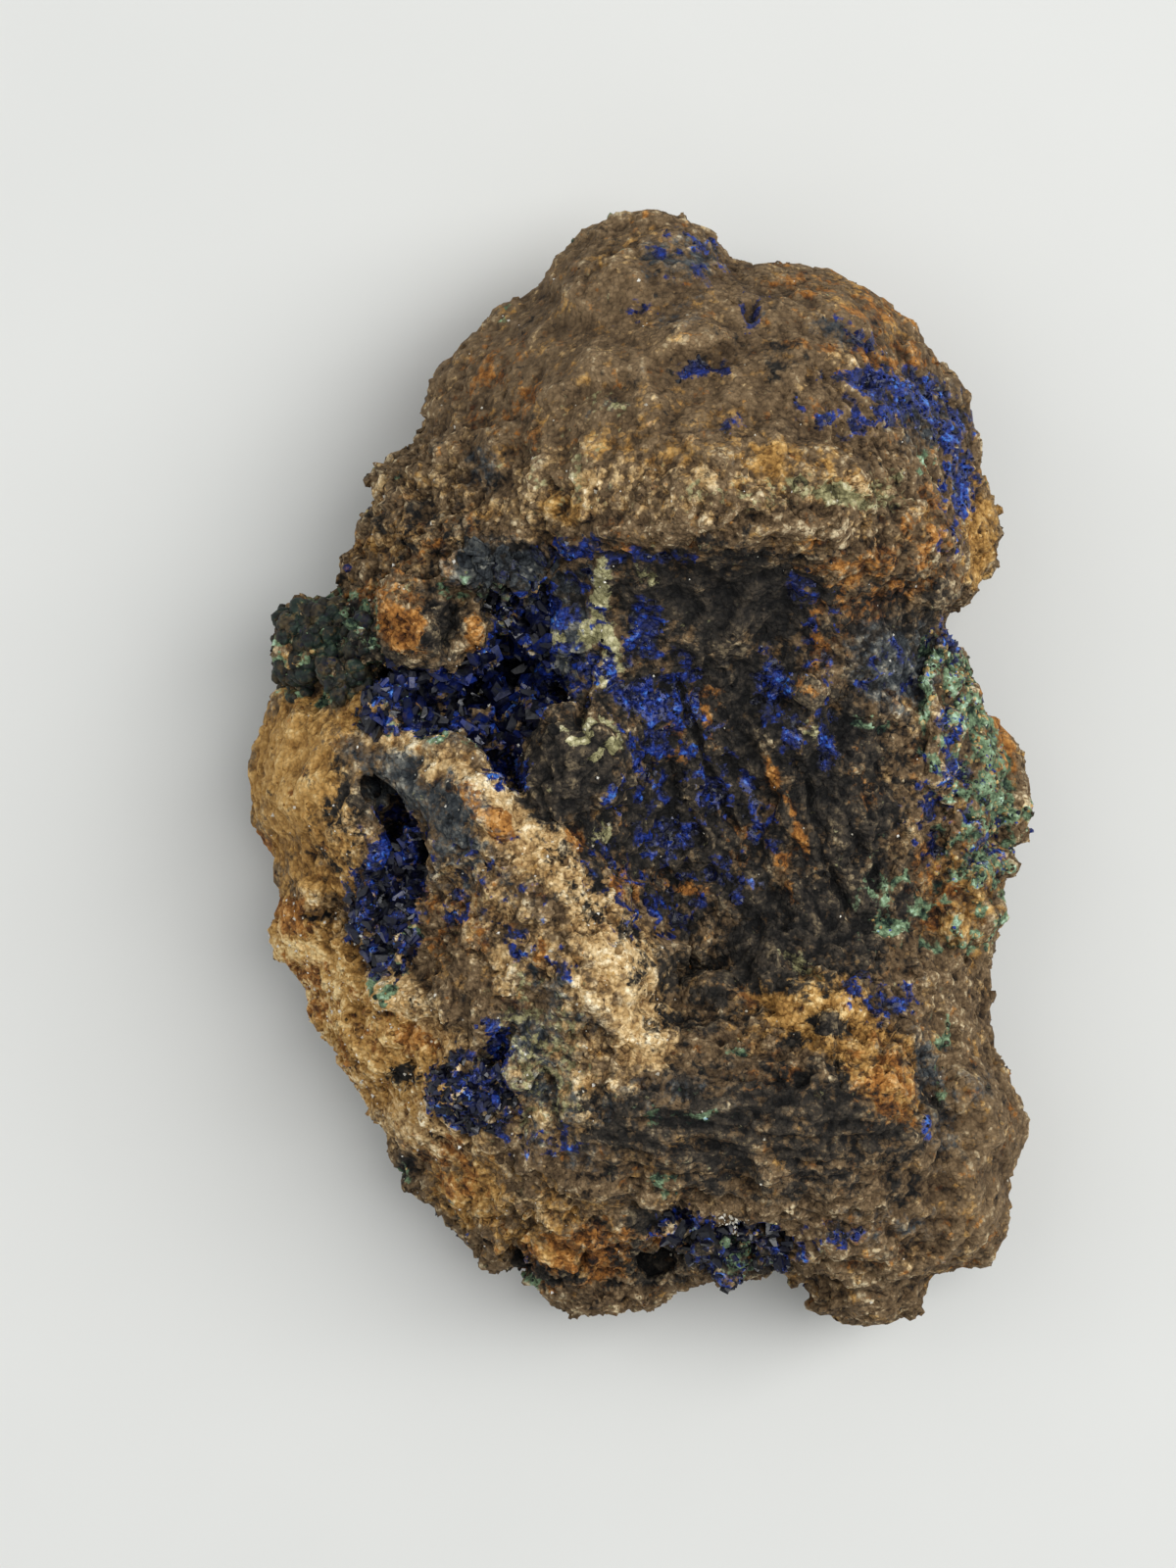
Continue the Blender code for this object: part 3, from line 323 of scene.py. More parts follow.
# Places of thin plates, above the large hollow, and places that glint.
FLAKY = ((512, 578, 44, 20, 1.0), (560, 566, 26, 8, 0.7))
GLINTS = (
    (408, 600, 6, 5, 1.0), (488, 672, 5, 6, 1.0), (435, 705, 5, 4, 1.0), (490, 701, 7, 6, 1.0),
    (745, 1250, 14, 8, 1.0), (518, 325, 4, 4, 1.0), (530, 767, 5, 4, 0.8), (478, 750, 5, 4, 0.8),
)

# Blue and green come in blobs: how wide, in millimetres, how strongly they break up their places, and how far
# the pattern is moved. Then how much brighter a mineral is in the heart of its places.
PATCHY = {"azurite": (1.0, 1.15, 71.0), "malachite": (1.3, 1.0, 83.0)}
BRIGHTER = {"sand": 0.30, "ochre": 0.70, "vein": 0.40, "malachite": 0.30, "azurite": 0.28}

# A surface is this much paler than the photograph shows it, because no light falls on it in full.
PALER = 1.22
SCREEN_GAMMA = 2.2


def linear(reading):
    """A colour as a screen shows it, 0 to 255, as the share of light that the surface gives back."""
    return tuple(PALER * (value / 255.0) ** SCREEN_GAMMA for value in reading)


def tones(*readings):
    """Ramp stops from a mineral's shadowed grains to its brightest ones."""
    return tuple((k / (len(readings) - 1), linear(reading)) for k, reading in enumerate(readings))


BROWN_TONES = tones((18, 13, 8), (66, 52, 36), (96, 78, 56), (124, 103, 76), (200, 182, 146))
SAND_TONES = tones((58, 42, 26), (120, 93, 60), (174, 142, 95), (212, 184, 136), (244, 230, 196))
OCHRE_TONES = tones((48, 32, 14), (112, 80, 40), (158, 119, 64), (190, 150, 90), (226, 198, 142))
RUST_TONES = tones((24, 14, 7), (76, 47, 24), (128, 83, 39), (172, 119, 60), (210, 165, 108))
SLATE_TONES = tones((9, 11, 15), (36, 40, 44), (60, 64, 66), (94, 95, 91), (152, 149, 136))
SOOT_AND_SHADE_TONES = tones((2, 2, 3), (18, 17, 16), (40, 37, 33), (64, 57, 48), (120, 106, 82))
VEIN_TONES = tones((52, 50, 34), (96, 92, 64), (136, 131, 94), (176, 170, 128), (220, 214, 180))
MALACHITE_TONES = tones((4, 13, 11), (30, 46, 38), (88, 106, 80), (124, 148, 114), (176, 206, 178))
AZURITE_TONES = tones((2, 4, 12), (10, 14, 36), (20, 30, 76), (25, 50, 130), (66, 118, 200))
QUARTZ_TONES = tones((130, 120, 100), (186, 180, 164), (236, 236, 230))

# How each mineral is mottled: its tones, how wide its broad mottles are in millimetres and how strongly they
# shake its edge, the same for its fine mottles, how soft the edge is, and how far the pattern is moved.
MOTTLES = {
    "sand": (SAND_TONES, 2.4, 1.60, 0.60, 0.90, 0.26, 0.000),
    "ochre": (OCHRE_TONES, 2.6, 1.50, 0.65, 0.80, 0.28, 0.011),
    "rust": (RUST_TONES, 2.0, 1.80, 0.60, 0.90, 0.22, 0.023),
    "slate": (SLATE_TONES, 2.2, 1.60, 0.60, 0.80, 0.34, 0.037),
    "soot": (SOOT_AND_SHADE_TONES, 2.0, 1.60, 0.55, 0.90, 0.26, 0.041),
    "vein": (VEIN_TONES, 1.4, 1.40, 0.50, 1.00, 0.20, 0.053),
    "malachite": (MALACHITE_TONES, 1.1, 0.70, 0.45, 0.90, 0.24, 0.067),
    "azurite": (AZURITE_TONES, 0.9, 0.60, 0.36, 0.80, 0.22, 0.079),
}


def noises(points, size, offset, octaves=2):
    """Smooth noise from -1 to 1 at points in metres, with swells of this size in millimetres."""
    shift = Vector((offset, 1.7 * offset, -0.9 * offset))
    scaled = points / (size * MM)
    return np.array([noise.fractal(Vector(p) + shift, 1.0, 2.0, octaves) for p in scaled])


class Chart:
    """The points as the photograph shows them, so that places can be laid on them, with wandering edges."""

    WOBBLE = 7.0  # in pixels
    WOBBLE_SIZE = 2.4  # in millimetres
    EDGE = 1.4  # a cover fades out around a place's edge
    FADE = 0.85
    SHOULDER = 1.35  # a knoll begins here
    SHOULDER_WIDTH = 0.6  # and has its full height this much further in

    def __init__(self, points):
        near = (EYE.z - OUTLINE_HEIGHT) / (EYE.z - points[:, 2]) / PIXEL
        x = PHOTO_SIZE[0] / 2 + (points[:, 0] - EYE.x) * near
        y = PHOTO_SIZE[1] / 2 - (points[:, 1] - EYE.y) * near
        self.x = x + self.WOBBLE * noises(points, self.WOBBLE_SIZE, 11.0)
        self.y = y + self.WOBBLE * noises(points, self.WOBBLE_SIZE, 29.0)

    def off(self, place):
        """How far each point is from a place's middle, where 1 is on its edge."""
        middle_x, middle_y, half_x, half_y = place[:4]
        angle = math.radians(place[5]) if len(place) > 5 else 0.0
        along = (self.x - middle_x) * math.cos(angle) + (self.y - middle_y) * math.sin(angle)
        across = (self.y - middle_y) * math.cos(angle) - (self.x - middle_x) * math.sin(angle)
        return np.hypot(along / half_x, across / half_y)

    def cover(self, places):
        """How much the places cover each point, from 0 to 1."""
        most = np.zeros(len(self.x))
        for place in places:
            most = np.maximum(most, place[4] * np.clip(self.EDGE - self.FADE * self.off(place), 0.0, 1.0))
        return most

    def stand(self, places):
        """How far the places stand out, in millimetres, with fairly sharp shoulders."""
        most = np.zeros(len(self.x))
        for place in places:
            rise = np.clip((self.SHOULDER - self.off(place)) / self.SHOULDER_WIDTH, 0.0, 1.0)
            most = np.maximum(most, place[4] * rise * rise * (3.0 - 2.0 * rise))
        return most


def points_of(mesh):
    """The places of a mesh's vertices."""
    flat = np.empty(len(mesh.vertices) * 3, np.float32)
    mesh.vertices.foreach_get("co", flat)
    return flat.reshape(-1, 3).astype(float)


def put_points(mesh, points):
    """Moves a mesh's vertices."""
    mesh.vertices.foreach_set("co", np.asarray(points, np.float32).ravel())
    mesh.update()


def corners_of(mesh):
    """The vertex numbers of each triangle."""
    mesh.calc_loop_triangles()
    flat = np.empty(len(mesh.loop_triangles) * 3, np.int32)
    mesh.loop_triangles.foreach_get("vertices", flat)
    return flat.reshape(-1, 3)


def faces_of(mesh, points):
    """The vertex numbers of each triangle, and its outward direction with its size as the length."""
    corners = corners_of(mesh)
    edge_a = points[corners[:, 1]] - points[corners[:, 0]]
    edge_b = points[corners[:, 2]] - points[corners[:, 0]]
    return corners, np.cross(edge_a, edge_b)


def outward(mesh, points):
    """The outward direction at each vertex."""
    corners, flat = faces_of(mesh, points)
    total = np.zeros_like(points)
    for axis in range(3):
        for corner in range(3):
            total[:, axis] += np.bincount(corners[:, corner], flat[:, axis], len(points))
    return total / np.maximum(np.linalg.norm(total, axis=1, keepdims=True), TINY)


def smoothed(mesh, points, rounds):
    """The points after each has moved towards the middle of its neighbours a few times."""
    flat = np.empty(len(mesh.edges) * 2, np.int32)
    mesh.edges.foreach_get("vertices", flat)
    a, b = flat.reshape(-1, 2).T
    size = len(points)
    count = np.maximum(np.bincount(a, minlength=size) + np.bincount(b, minlength=size), 1)
    points = points.copy()
    for _ in range(rounds):
        for axis in range(3):
            old = points[:, axis]
            total = np.bincount(a, old[b], size) + np.bincount(b, old[a], size)
            points[:, axis] = 0.5 * old + 0.5 * total / count
    return points


def inside_box(points):
    """The points, held inside the CAD model's box."""
    return np.clip(points, np.array(cad_box[0]), np.array(cad_box[1]))


def only(obj):
    """Makes obj the one selected and active object."""
    bpy.ops.object.select_all(action="DESELECT")
    obj.select_set(True)
    bpy.context.view_layer.objects.active = obj


def edit_all():
    """Goes into edit mode with the whole mesh selected."""
    bpy.ops.object.mode_set(mode="EDIT")
    bpy.ops.mesh.select_all(action="SELECT")


def placed(name, data):
    """A new object in the scene."""
    made = bpy.data.objects.new(name, data)
    bpy.context.scene.collection.objects.link(made)
    return made


def copy_of(node, name):
    """A merged copy of a CAD node, to be worked into the piece that stands for it."""
    made = placed(name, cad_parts[node].data.copy())
    made.data.materials.clear()
    made.data.name = name
    only(made)
    edit_all()
    bpy.ops.mesh.remove_doubles(threshold=MERGED)
    bpy.ops.object.mode_set(mode="OBJECT")
    return made


def apply_modifier(obj, kind, **settings):
    """Adds a modifier with these settings and applies it."""
    only(obj)
    step = obj.modifiers.new(kind.lower(), kind)
    for name, value in settings.items():
        setattr(step, name, value)
    bpy.ops.object.modifier_apply(modifier=step.name)


def joined(*pieces):
    """One piece of several meshes, named after the first."""
    only(pieces[0])
    for piece in pieces[1:]:
        piece.select_set(True)
    bpy.ops.object.join()
    return bpy.context.view_layer.objects.active


def largest_part(obj):
    """Deletes all but the largest connected part of a mesh."""
    only(obj)
    edit_all()
    bpy.ops.mesh.separate(type="LOOSE")
    bpy.ops.object.mode_set(mode="OBJECT")
    parts = sorted(bpy.context.selected_objects, key=lambda part: -len(part.data.vertices))
    name = obj.name
    for part in parts[1:]:
        bpy.data.objects.remove(part)
    parts[0].name = name
    return parts[0]


def tree_of(node):
    """A node's triangles, ready to be asked which of their points is nearest."""
    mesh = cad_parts[node].data
    return BVHTree.FromPolygons(points_of(mesh).tolist(), corners_of(mesh).tolist())


def set_weights(mesh, name, values):
    """Writes a number for each vertex, over what was there."""
    layer = mesh.attributes.get(name) or mesh.attributes.new(name, "FLOAT", "POINT")
    layer.data.foreach_set("value", np.asarray(values, np.float32))


def weights_of(mesh, name):
    """The numbers that set_weights has written."""
    values = np.empty(len(mesh.vertices), np.float32)
    mesh.attributes[name].data.foreach_get("value", values)
    return values.astype(float)


def nearness(points, node, reach):
    """How near points are to a node, from 0 at this many millimetres to 1 on it."""
    low, high = (np.array(corner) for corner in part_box(node))
    inside = np.all((points > low - reach * MM) & (points < high + reach * MM), axis=1)
    tree = tree_of(node)
    near = np.zeros(len(points))
    for k in np.flatnonzero(inside):
        found = tree.find_nearest(points[k], reach * MM)
        if found[0] is not None:
            near[k] = 1.0 - found[3] / (reach * MM)
    return near


def stepped(points, size, offset):
    """The value of a broken surface at points in metres: each cell is a small tilted plane."""
    tilt_much, step_much = 1.3, 0.40
    moved = (11.3, 37.9, 71.7)
    scaled = points / (size * MM) + offset
    values = np.empty(len(points))
    for k, at in enumerate(scaled):
        at = Vector(at)
        centre = noise.voronoi(at)[1][0]
        tilt = Vector(noise.noise(centre * 3.7 + Vector((far, 0.0, 0.0))) for far in moved)
        values[k] = tilt_much * (at - centre).dot(tilt) + step_much * noise.noise(centre * 5.1)
    return values


def drawn_out(points, way):
    """The points pressed together along a way in plan, so that a pattern on them is drawn out along it."""
    along = points[:, 0] * way[0] + points[:, 1] * way[1]
    across = points[:, 1] * way[0] - points[:, 0] * way[1]
    return np.stack([along * NARROW, across, points[:, 2]], axis=1)


def stone_relief(points):
    """How far the stone's surface stands out at each point, in metres."""
    chart = Chart(points)
    strength = (1.0 + COARSER * chart.cover(COARSE)) * (1.0 - CALMER * chart.cover(CALM))
    out = LUMPS[0] * noises(points, LUMPS[1], 3.0, 3) * strength
    for k, (height, size) in enumerate(BLOCKS):
        out += height * stepped(points, size, 5.0 + 7.0 * k) * strength
    out += GRIT[0] * noises(points, GRIT[1], 17.0, 2) * (0.5 + 0.5 * strength)
    out -= PITS[0] * np.clip(noises(points, PITS[1], 41.0, 2) - 0.40, 0.0, 0.5) * strength
    beds = drawn_out(points, BEDS_WAY)
    out += BEDDING[0] * noises(beds, BEDDING[1], 53.0, 2) * chart.cover(BEDDED)
    streaks = drawn_out(points, STRIATIONS_WAY)
    out += STRIATIONS[0] * noises(streaks, STRIATIONS[1], 67.0, 2) * chart.cover(STRIATED)
    above_base = np.clip(points[:, 2] / MM / 4.0 - 1.0, 0.0, 1.0)
    out += above_base * (chart.stand(RAISED) - chart.stand(SUNKEN))
    return out * MM


def seated(node, stone_tree):
    """A copy of a crust whose inner side is pressed into the stone, so that no gap is left under it."""
    made = copy_of(node, node + "_seat")
    points = points_of(made.data)
    for k, point in enumerate(points):
        spot, way, _, far = stone_tree.find_nearest(Vector(point))
        if far < PRESSED * MM:
            points[k] = spot - SEAT_DEPTH * MM * way
    put_points(made.data, points)
    return made


def stone():
    """The stone's whole surface, fine enough for its crumbs, with the minerals' weights on it."""
    stone_tree = tree_of("matrix")
    seats = [seated(node, stone_tree) for node in (*BLUE_NODES, *GREEN_NODES)]
    made = joined(copy_of("matrix", "stone"), *seats)
    apply_modifier(made, "REMESH", mode="VOXEL", voxel_size=STONE_VOXEL * MM, use_smooth_shade=True)
    made = largest_part(made)
    mesh = made.data
    points = smoothed(mesh, points_of(mesh), STONE_SMOOTHING)
    off_table = np.clip(points[:, 2] / (FLAT_FOOT * MM), 0.0, 1.0)
    points = points + outward(mesh, points) * (stone_relief(points) * off_table)[:, None]
    put_points(mesh, inside_box(points))
    faces = len(corners_of(mesh))
    if faces > STONE_FACES:
        apply_modifier(made, "DECIMATE", ratio=STONE_FACES / faces)
        put_points(mesh, inside_box(points_of(mesh)))
    weigh_minerals(made)
    return made


def weigh_minerals(obj):
    """Writes each mineral's share on the surface, by the photograph or, where it is unseen, by chance."""
    mesh = obj.data
    points = points_of(mesh)
    ways = outward(mesh, points)
    chart = Chart(points)
    faces_up = np.clip((ways[:, 2] + 0.45) / 0.3, 0.0, 1.0)
    above_base = np.clip((points[:, 2] / MM - 2.0) / 4.0, 0.0, 1.0)
    seen = faces_up * above_base
    weights = {}
    for k, (name, places) in enumerate(MINERALS.items()):
        size, common = UNSEEN[name]
        chance = common + 0.9 * noises(points, size, 61.0 + 13.0 * k, 3)
        there = np.maximum(chart.cover(places), EVERYWHERE[name])
        weights[name] = seen * there + (1.0 - seen) * np.clip(chance, 0.0, 1.0)
    # strong rust shows through the soot and painted shade, which is laid over it
    weights["soot"] = weights["soot"] - 0.5 * np.clip(2.0 * weights["rust"] - 0.8, 0.0, 1.0)
    stains = [(node, "azurite", row[3]) for node, row in BLUE_NODES.items()]
    stains += [(node, "malachite", GREEN_STAIN) for node in GREEN_NODES]
    for node, name, most in stains:
        near = nearness(points, node, CRUST_REACH)
        set_weights(mesh, node, near)
        weights[name] = np.maximum(weights[name], most * np.clip(2.2 * near, 0.0, 1.0))
    for name, (size, much, offset) in PATCHY.items():
        there = np.clip(8.0 * weights[name], 0.0, 1.0)
        weights[name] = weights[name] + there * much * noises(points, size, offset, 3)
    for name, values in weights.items():
        set_weights(mesh, name, values)
    set_weights(mesh, "calm", chart.cover(CALM) * seen)
    # how far the surface bends out or in, so that the stone is painted paler on its crests and darker in its
    # hollows: painted highlight and painted shade
    fine = ((points - smoothed(mesh, points, 3)) * ways).sum(axis=1) / (0.10 * MM)
    broad = ((points - smoothed(mesh, points, 40)) * ways).sum(axis=1) / (0.50 * MM)
    set_weights(mesh, "crest", 0.5 * np.clip(fine, -1.0, 1.0) + 0.5 * np.clip(broad, -1.0, 1.0))


class Value:
    """A shader value. Sums written with it add the Math nodes that they stand for."""

    def __init__(self, sheet, socket):
        self.sheet = sheet
        self.socket = socket

    def sum(self, operation, *terms):
        """The Math node's result."""
        return self.sheet.node("ShaderNodeMath", {"operation": operation}, dict(enumerate(terms)))

    def __add__(self, other):
        return self.sum("ADD", self, other)

    __radd__ = __add__

    def __sub__(self, other):
        return self.sum("SUBTRACT", self, other)

    def __rsub__(self, other):
        return self.sum("SUBTRACT", other, self)

    def __mul__(self, other):
        return self.sum("MULTIPLY", self, other)

    __rmul__ = __mul__

    def __truediv__(self, other):
        return self.sum("DIVIDE", self, other)

    def smaller(self, other):
        return self.sum("MINIMUM", self, other)

    def held(self):
        """The value held between 0 and 1."""
        return self.sum("MAXIMUM", self, 0.0).smaller(1.0)

    def past(self, edge, width):
        """0 below the edge and 1 above it, over a band of this width."""
        return ((self - edge) / width + 0.5).held()


class Sheet:
    """One material's nodes."""

    def __init__(self, name):
        self.material = bpy.data.materials.new(name)
        self.material.use_nodes = True
        self.tree = self.material.node_tree
        self.shader = self.tree.nodes["Principled BSDF"]

    def node(self, kind, settings=(), sockets=(), output=0):
        """Adds a node: first its settings, then a number, a colour or a link for each socket."""
        made = self.tree.nodes.new(kind)
        for name, value in dict(settings).items():
            if name == "stops":
                self.set_stops(made.color_ramp, value)
            else:
                setattr(made, name, value)
        for name, value in dict(sockets).items():
            self.fill(made.inputs[name], value)
        return Value(self, made.outputs[output])

    def fill(self, socket, value):
        """Links a socket or sets it."""
        if isinstance(value, Value):
            self.tree.links.new(value.socket, socket)
        elif isinstance(value, tuple) and len(value) == 3 and len(socket.default_value) == 4:
            socket.default_value = (*value, 1.0)
        else:
            socket.default_value = value

    def set_stops(self, ramp, stops):
        """Gives a colour ramp its stops."""
        while len(ramp.elements) < len(stops):
            ramp.elements.new(1.0)
        for element, (at, colour) in zip(ramp.elements, stops):
            element.position = at
            element.color = (*colour, 1.0)

    def finish(self, **sockets):
        """Fills the shader's own sockets, named with spaces as underscores."""
        for name, value in sockets.items():
            self.fill(self.shader.inputs[name.replace("_", " ")], value)
        return self.material

    def place(self):
        """The place on the object, in metres."""
        return self.node("ShaderNodeTexCoord", output=3)

    def weight(self, name):
        """A number that set_weights has written on the surface."""
        return self.node("ShaderNodeAttribute", {"attribute_name": name}, output=2)

    def shifted(self, place, offset):
        """The place moved by this many metres each way, for a pattern of its own."""
        far = (offset, offset, -offset)
        return self.node("ShaderNodeVectorMath", {"operation": "ADD"}, {0: place, 1: far})

    def clouds(self, place, size, detail, rough=0.55):
        """Noise from 0 to 1 with swells of this size in millimetres."""
        values = {"Vector": place, "Scale": 1.0 / (size * MM), "Detail": detail, "Roughness": rough}
        return self.node("ShaderNodeTexNoise", sockets=values)

    def shaken(self, place, size, far):
        """The place moved about by this many millimetres, in swells of this size."""
        values = {"Vector": place, "Scale": 1.0 / (size * MM), "Detail": 1.0}
        cloud = self.node("ShaderNodeTexNoise", sockets=values, output=1)
        middle = self.node("ShaderNodeVectorMath", {"operation": "SUBTRACT"}, {0: cloud, 1: (0.5, 0.5, 0.5)})
        return self.node("ShaderNodeVectorMath", {"operation": "MULTIPLY_ADD"},
                         {0: middle, 1: (far * MM, far * MM, far * MM), 2: place})

    def cells(self, place, size, output=0):
        """Cells of this size in millimetres: output 0 is the distance from the middle, 1 a random colour."""
        return self.node("ShaderNodeTexVoronoi", sockets={"Vector": place, "Scale": 1.0 / (size * MM)},
                         output=output)

    def one_of(self, colour, channel=0):
        """One channel of a random colour, as a number."""
        return self.node("ShaderNodeSeparateColor", sockets={0: colour}, output=channel)

    def ramp(self, value, stops):
        """The colour at a value, by the stops that tones gives."""
        return self.node("ShaderNodeValToRGB", {"stops": stops}, {0: value})

    def mixed(self, share, a, b):
        """Colour a, with this share of colour b."""
        return self.node("ShaderNodeMix", {"data_type": "RGBA"}, {0: share, 6: a, 7: b}, output=2)

    def bump(self, height, far, strength):
        """A bump of this depth in millimetres."""
        values = {"Height": height, "Distance": far * MM, "Strength": strength}
        return self.node("ShaderNodeBump", sockets=values)


def stone_finish():
    """Crumbly stone: its grains are shared, and each mineral gives them its own tones."""
    sheet = Sheet("stone")
    place = sheet.place()
    shaken = sheet.shaken(place, 0.5, 0.22)
    picks = sheet.cells(shaken, 0.42, 1)
    grain = sheet.one_of(picks)
    pick = sheet.one_of(picks, 1)
    grit = sheet.one_of(sheet.cells(sheet.shaken(place, 0.3, 0.12), 0.24, 1))
    gaps = sheet.cells(shaken, 0.42).past(0.62, 0.5)
    clumps = sheet.clouds(place, 1.5, 4.0, 0.6)
    swells = sheet.clouds(place, 7.0, 3.0)
    dust = sheet.clouds(place, 0.45, 3.0, 0.7)
    # the stone is paler on its crests and darker in its hollows: painted highlight and painted shade. On
    # loose grains the same weight is only a random shade of their own
    crest = sheet.weight("crest")
    # the gaps between grains are darker: partly their own dark grit and partly painted shade
    spread = (0.28 * (grain - 0.5) + 0.16 * (grit - 0.5) + 1.10 * (clumps - 0.5) + 0.60 * (dust - 0.5)
              + 0.45 * (swells - 0.5) - 0.10 * gaps)
    tone = (0.50 + spread * (1.0 - 0.55 * sheet.weight("calm")) + 0.26 * crest).held()
    colour = sheet.ramp(tone, BROWN_TONES)
    for name, (stops, wide, wide_much, small, small_much, soft, offset) in MOTTLES.items():
        broad = sheet.clouds(sheet.shifted(place, offset + 0.1), wide, 4.0, 0.6)
        fine = sheet.clouds(sheet.shifted(place, offset), small, 3.0, 0.65)
        weight = sheet.weight(name)
        mask = (weight + wide_much * (broad - 0.5) + small_much * (fine - 0.5)
                + 0.24 * (pick - 0.5)).past(0.5, soft)
        lit = tone + BRIGHTER[name] * (weight - 0.75).held() if name in BRIGHTER else tone
        colour = sheet.mixed(mask, colour, sheet.ramp(lit, stops))
    blue = mask  # azurite is the last of them
    height = 0.5 * grain + 0.35 * dust + 0.5 * clumps - 0.55 * gaps + 0.15 * grit
    return sheet.finish(
        Base_Color=colour,
        Roughness=0.88 - 0.40 * blue,
        Coat_Weight=0.25 * blue,
        Specular_IOR_Level=0.32,
        Normal=sheet.bump(height, 0.32, 0.9),
    )


def crystal_finish():
    """Deep blue glassy crystals, each of its own tone, dusty in places; the crusts' crystals are darker in
    hollows, which is painted shade.
    """
    sheet = Sheet("azurite")
    place = sheet.place()
    clumps = sheet.clouds(place, 1.2, 3.0)
    fine = sheet.clouds(place, 0.25, 2.0)
    tone = (0.02 + 0.72 * sheet.weight("tone") + 0.70 * (clumps - 0.5) + 0.4 * (fine - 0.5)).held()
    dull = (sheet.clouds(sheet.shifted(place, 0.02), 0.9, 3.0) + 0.5 * (fine - 0.5)).past(0.56, 0.12)
    colour = sheet.mixed(0.6 * dull, sheet.ramp(tone, AZURITE_TONES), sheet.ramp(0.5 * tone, SLATE_TONES))
    return sheet.finish(
        Base_Color=colour,
        Roughness=0.34 + 0.30 * dull,
        Coat_Weight=0.25 - 0.2 * dull,
        Coat_Roughness=0.12,
        Specular_IOR_Level=0.4,
        Normal=sheet.bump(fine, 0.03, 0.5),
    )


def malachite_finish():
    """Satin green knobs, paler on their crests and darker between their beads, which is painted highlight and
    shade, stained with tan and dark blue.
    """
    sheet = Sheet("malachite")
    place = sheet.place()
    clumps = sheet.clouds(place, 1.5, 3.0)
    fine = sheet.clouds(place, 0.3, 3.0)
    beads = sheet.cells(sheet.shaken(place, 0.6, 0.2), 0.5)
    shade = sheet.weight("tone")
    # paler on the beads' crests and darker between them: painted highlight and painted shade
    tone = (0.02 + 0.75 * shade + (0.5 + shade) * (clumps - 0.5) + 0.5 * (fine - 0.5)
            + 0.25 * (0.55 - beads)).held()
    stain = (sheet.clouds(sheet.shifted(place, 0.05), 1.5, 4.0) + 0.6 * (fine - 0.5)).past(0.50, 0.10)
    navy = (sheet.clouds(sheet.shifted(place, 0.09), 1.2, 4.0) + 0.5 * (fine - 0.5)).past(0.62, 0.08)
    stained = stain * (0.14 + shade).smaller(0.85)
    colour = sheet.mixed(stained, sheet.ramp(tone, MALACHITE_TONES), sheet.ramp(tone, OCHRE_TONES))
    colour = sheet.mixed(navy, colour, sheet.ramp(tone, AZURITE_TONES))
    return sheet.finish(
        Base_Color=colour,
        Roughness=0.70 - 0.15 * clumps,
        Specular_IOR_Level=0.40,
        Normal=sheet.bump(0.6 * (1.0 - beads) + 0.4 * fine, 0.16, 0.8),
    )


def quartz_finish():
    """Clear and milky grains that catch the light."""
    sheet = Sheet("quartz")
    place = sheet.place()
    milky = sheet.clouds(place, 0.6, 3.0)
    colour = sheet.ramp((0.45 * sheet.weight("tone") + 0.9 * milky - 0.15).held(), QUARTZ_TONES)
    return sheet.finish(Base_Color=colour, Roughness=0.12 + 0.3 * milky, Specular_IOR_Level=0.7,
                        Coat_Weight=0.5, Coat_Roughness=0.05, Normal=sheet.bump(milky, 0.04, 0.4))


def template():
    """The corners and triangles of the shape just made, to be copied. The shape's own object goes."""
    made = bpy.context.object
    edit_all()
    bpy.ops.mesh.quads_convert_to_tris()
    bpy.ops.mesh.normals_make_consistent(inside=False)
    bpy.ops.object.mode_set(mode="OBJECT")
    points, faces = points_of(made.data), corners_of(made.data)
    bpy.data.objects.remove(made)
    return points, faces


def ball(rounds):
    """A ball of half-width 1: a rough crumb of 20 faces, or with two rounds a knob of 80."""
    bpy.ops.object.select_all(action="DESELECT")
    bpy.ops.mesh.primitive_ico_sphere_add(subdivisions=rounds, radius=1.0)
    return template()


def sharp_grain():
    """The smallest grain: eight faces, of half-width 1."""
    bpy.ops.object.select_all(action="DESELECT")
    bpy.ops.mesh.primitive_cone_add(vertices=4, radius1=1.0, depth=1.0, end_fill_type="NOTHING",
                                    location=(0.0, 0.0, 0.5))
    bpy.ops.object.transform_apply(location=True, rotation=False, scale=False)
    edit_all()
    bpy.ops.mesh.duplicate()
    bpy.ops.transform.resize(value=(1.0, 1.0, -1.0), center_override=(0.0, 0.0, 0.0))
    bpy.ops.mesh.select_all(action="SELECT")
    bpy.ops.mesh.remove_doubles(threshold=0.01)
    bpy.ops.object.mode_set(mode="OBJECT")
    return template()


def blade():
    """A blocky crystal with a chisel tip: half-width 1, from 1 below its root to 2 above it."""
    bpy.ops.object.select_all(action="DESELECT")
    bpy.ops.mesh.primitive_cylinder_add(vertices=6, radius=1.0, depth=3.0, location=(0.0, 0.0, 0.5))
    bpy.ops.object.transform_apply(location=True, rotation=False, scale=False)
    bpy.ops.object.mode_set(mode="EDIT")
    for plane_y, lean in ((0.62, 0.78), (-0.50, 0.86)):
        bpy.ops.mesh.select_all(action="SELECT")
        bpy.ops.mesh.bisect(plane_co=(0.0, 0.15 * plane_y, 1.75), plane_no=(0.12, plane_y, lean),
                            use_fill=True, clear_outer=True)
    bpy.ops.mesh.select_all(action="SELECT")
    bpy.ops.transform.resize(value=(1.0, 0.66, 1.0))
    bpy.ops.object.mode_set(mode="OBJECT")
    return template()


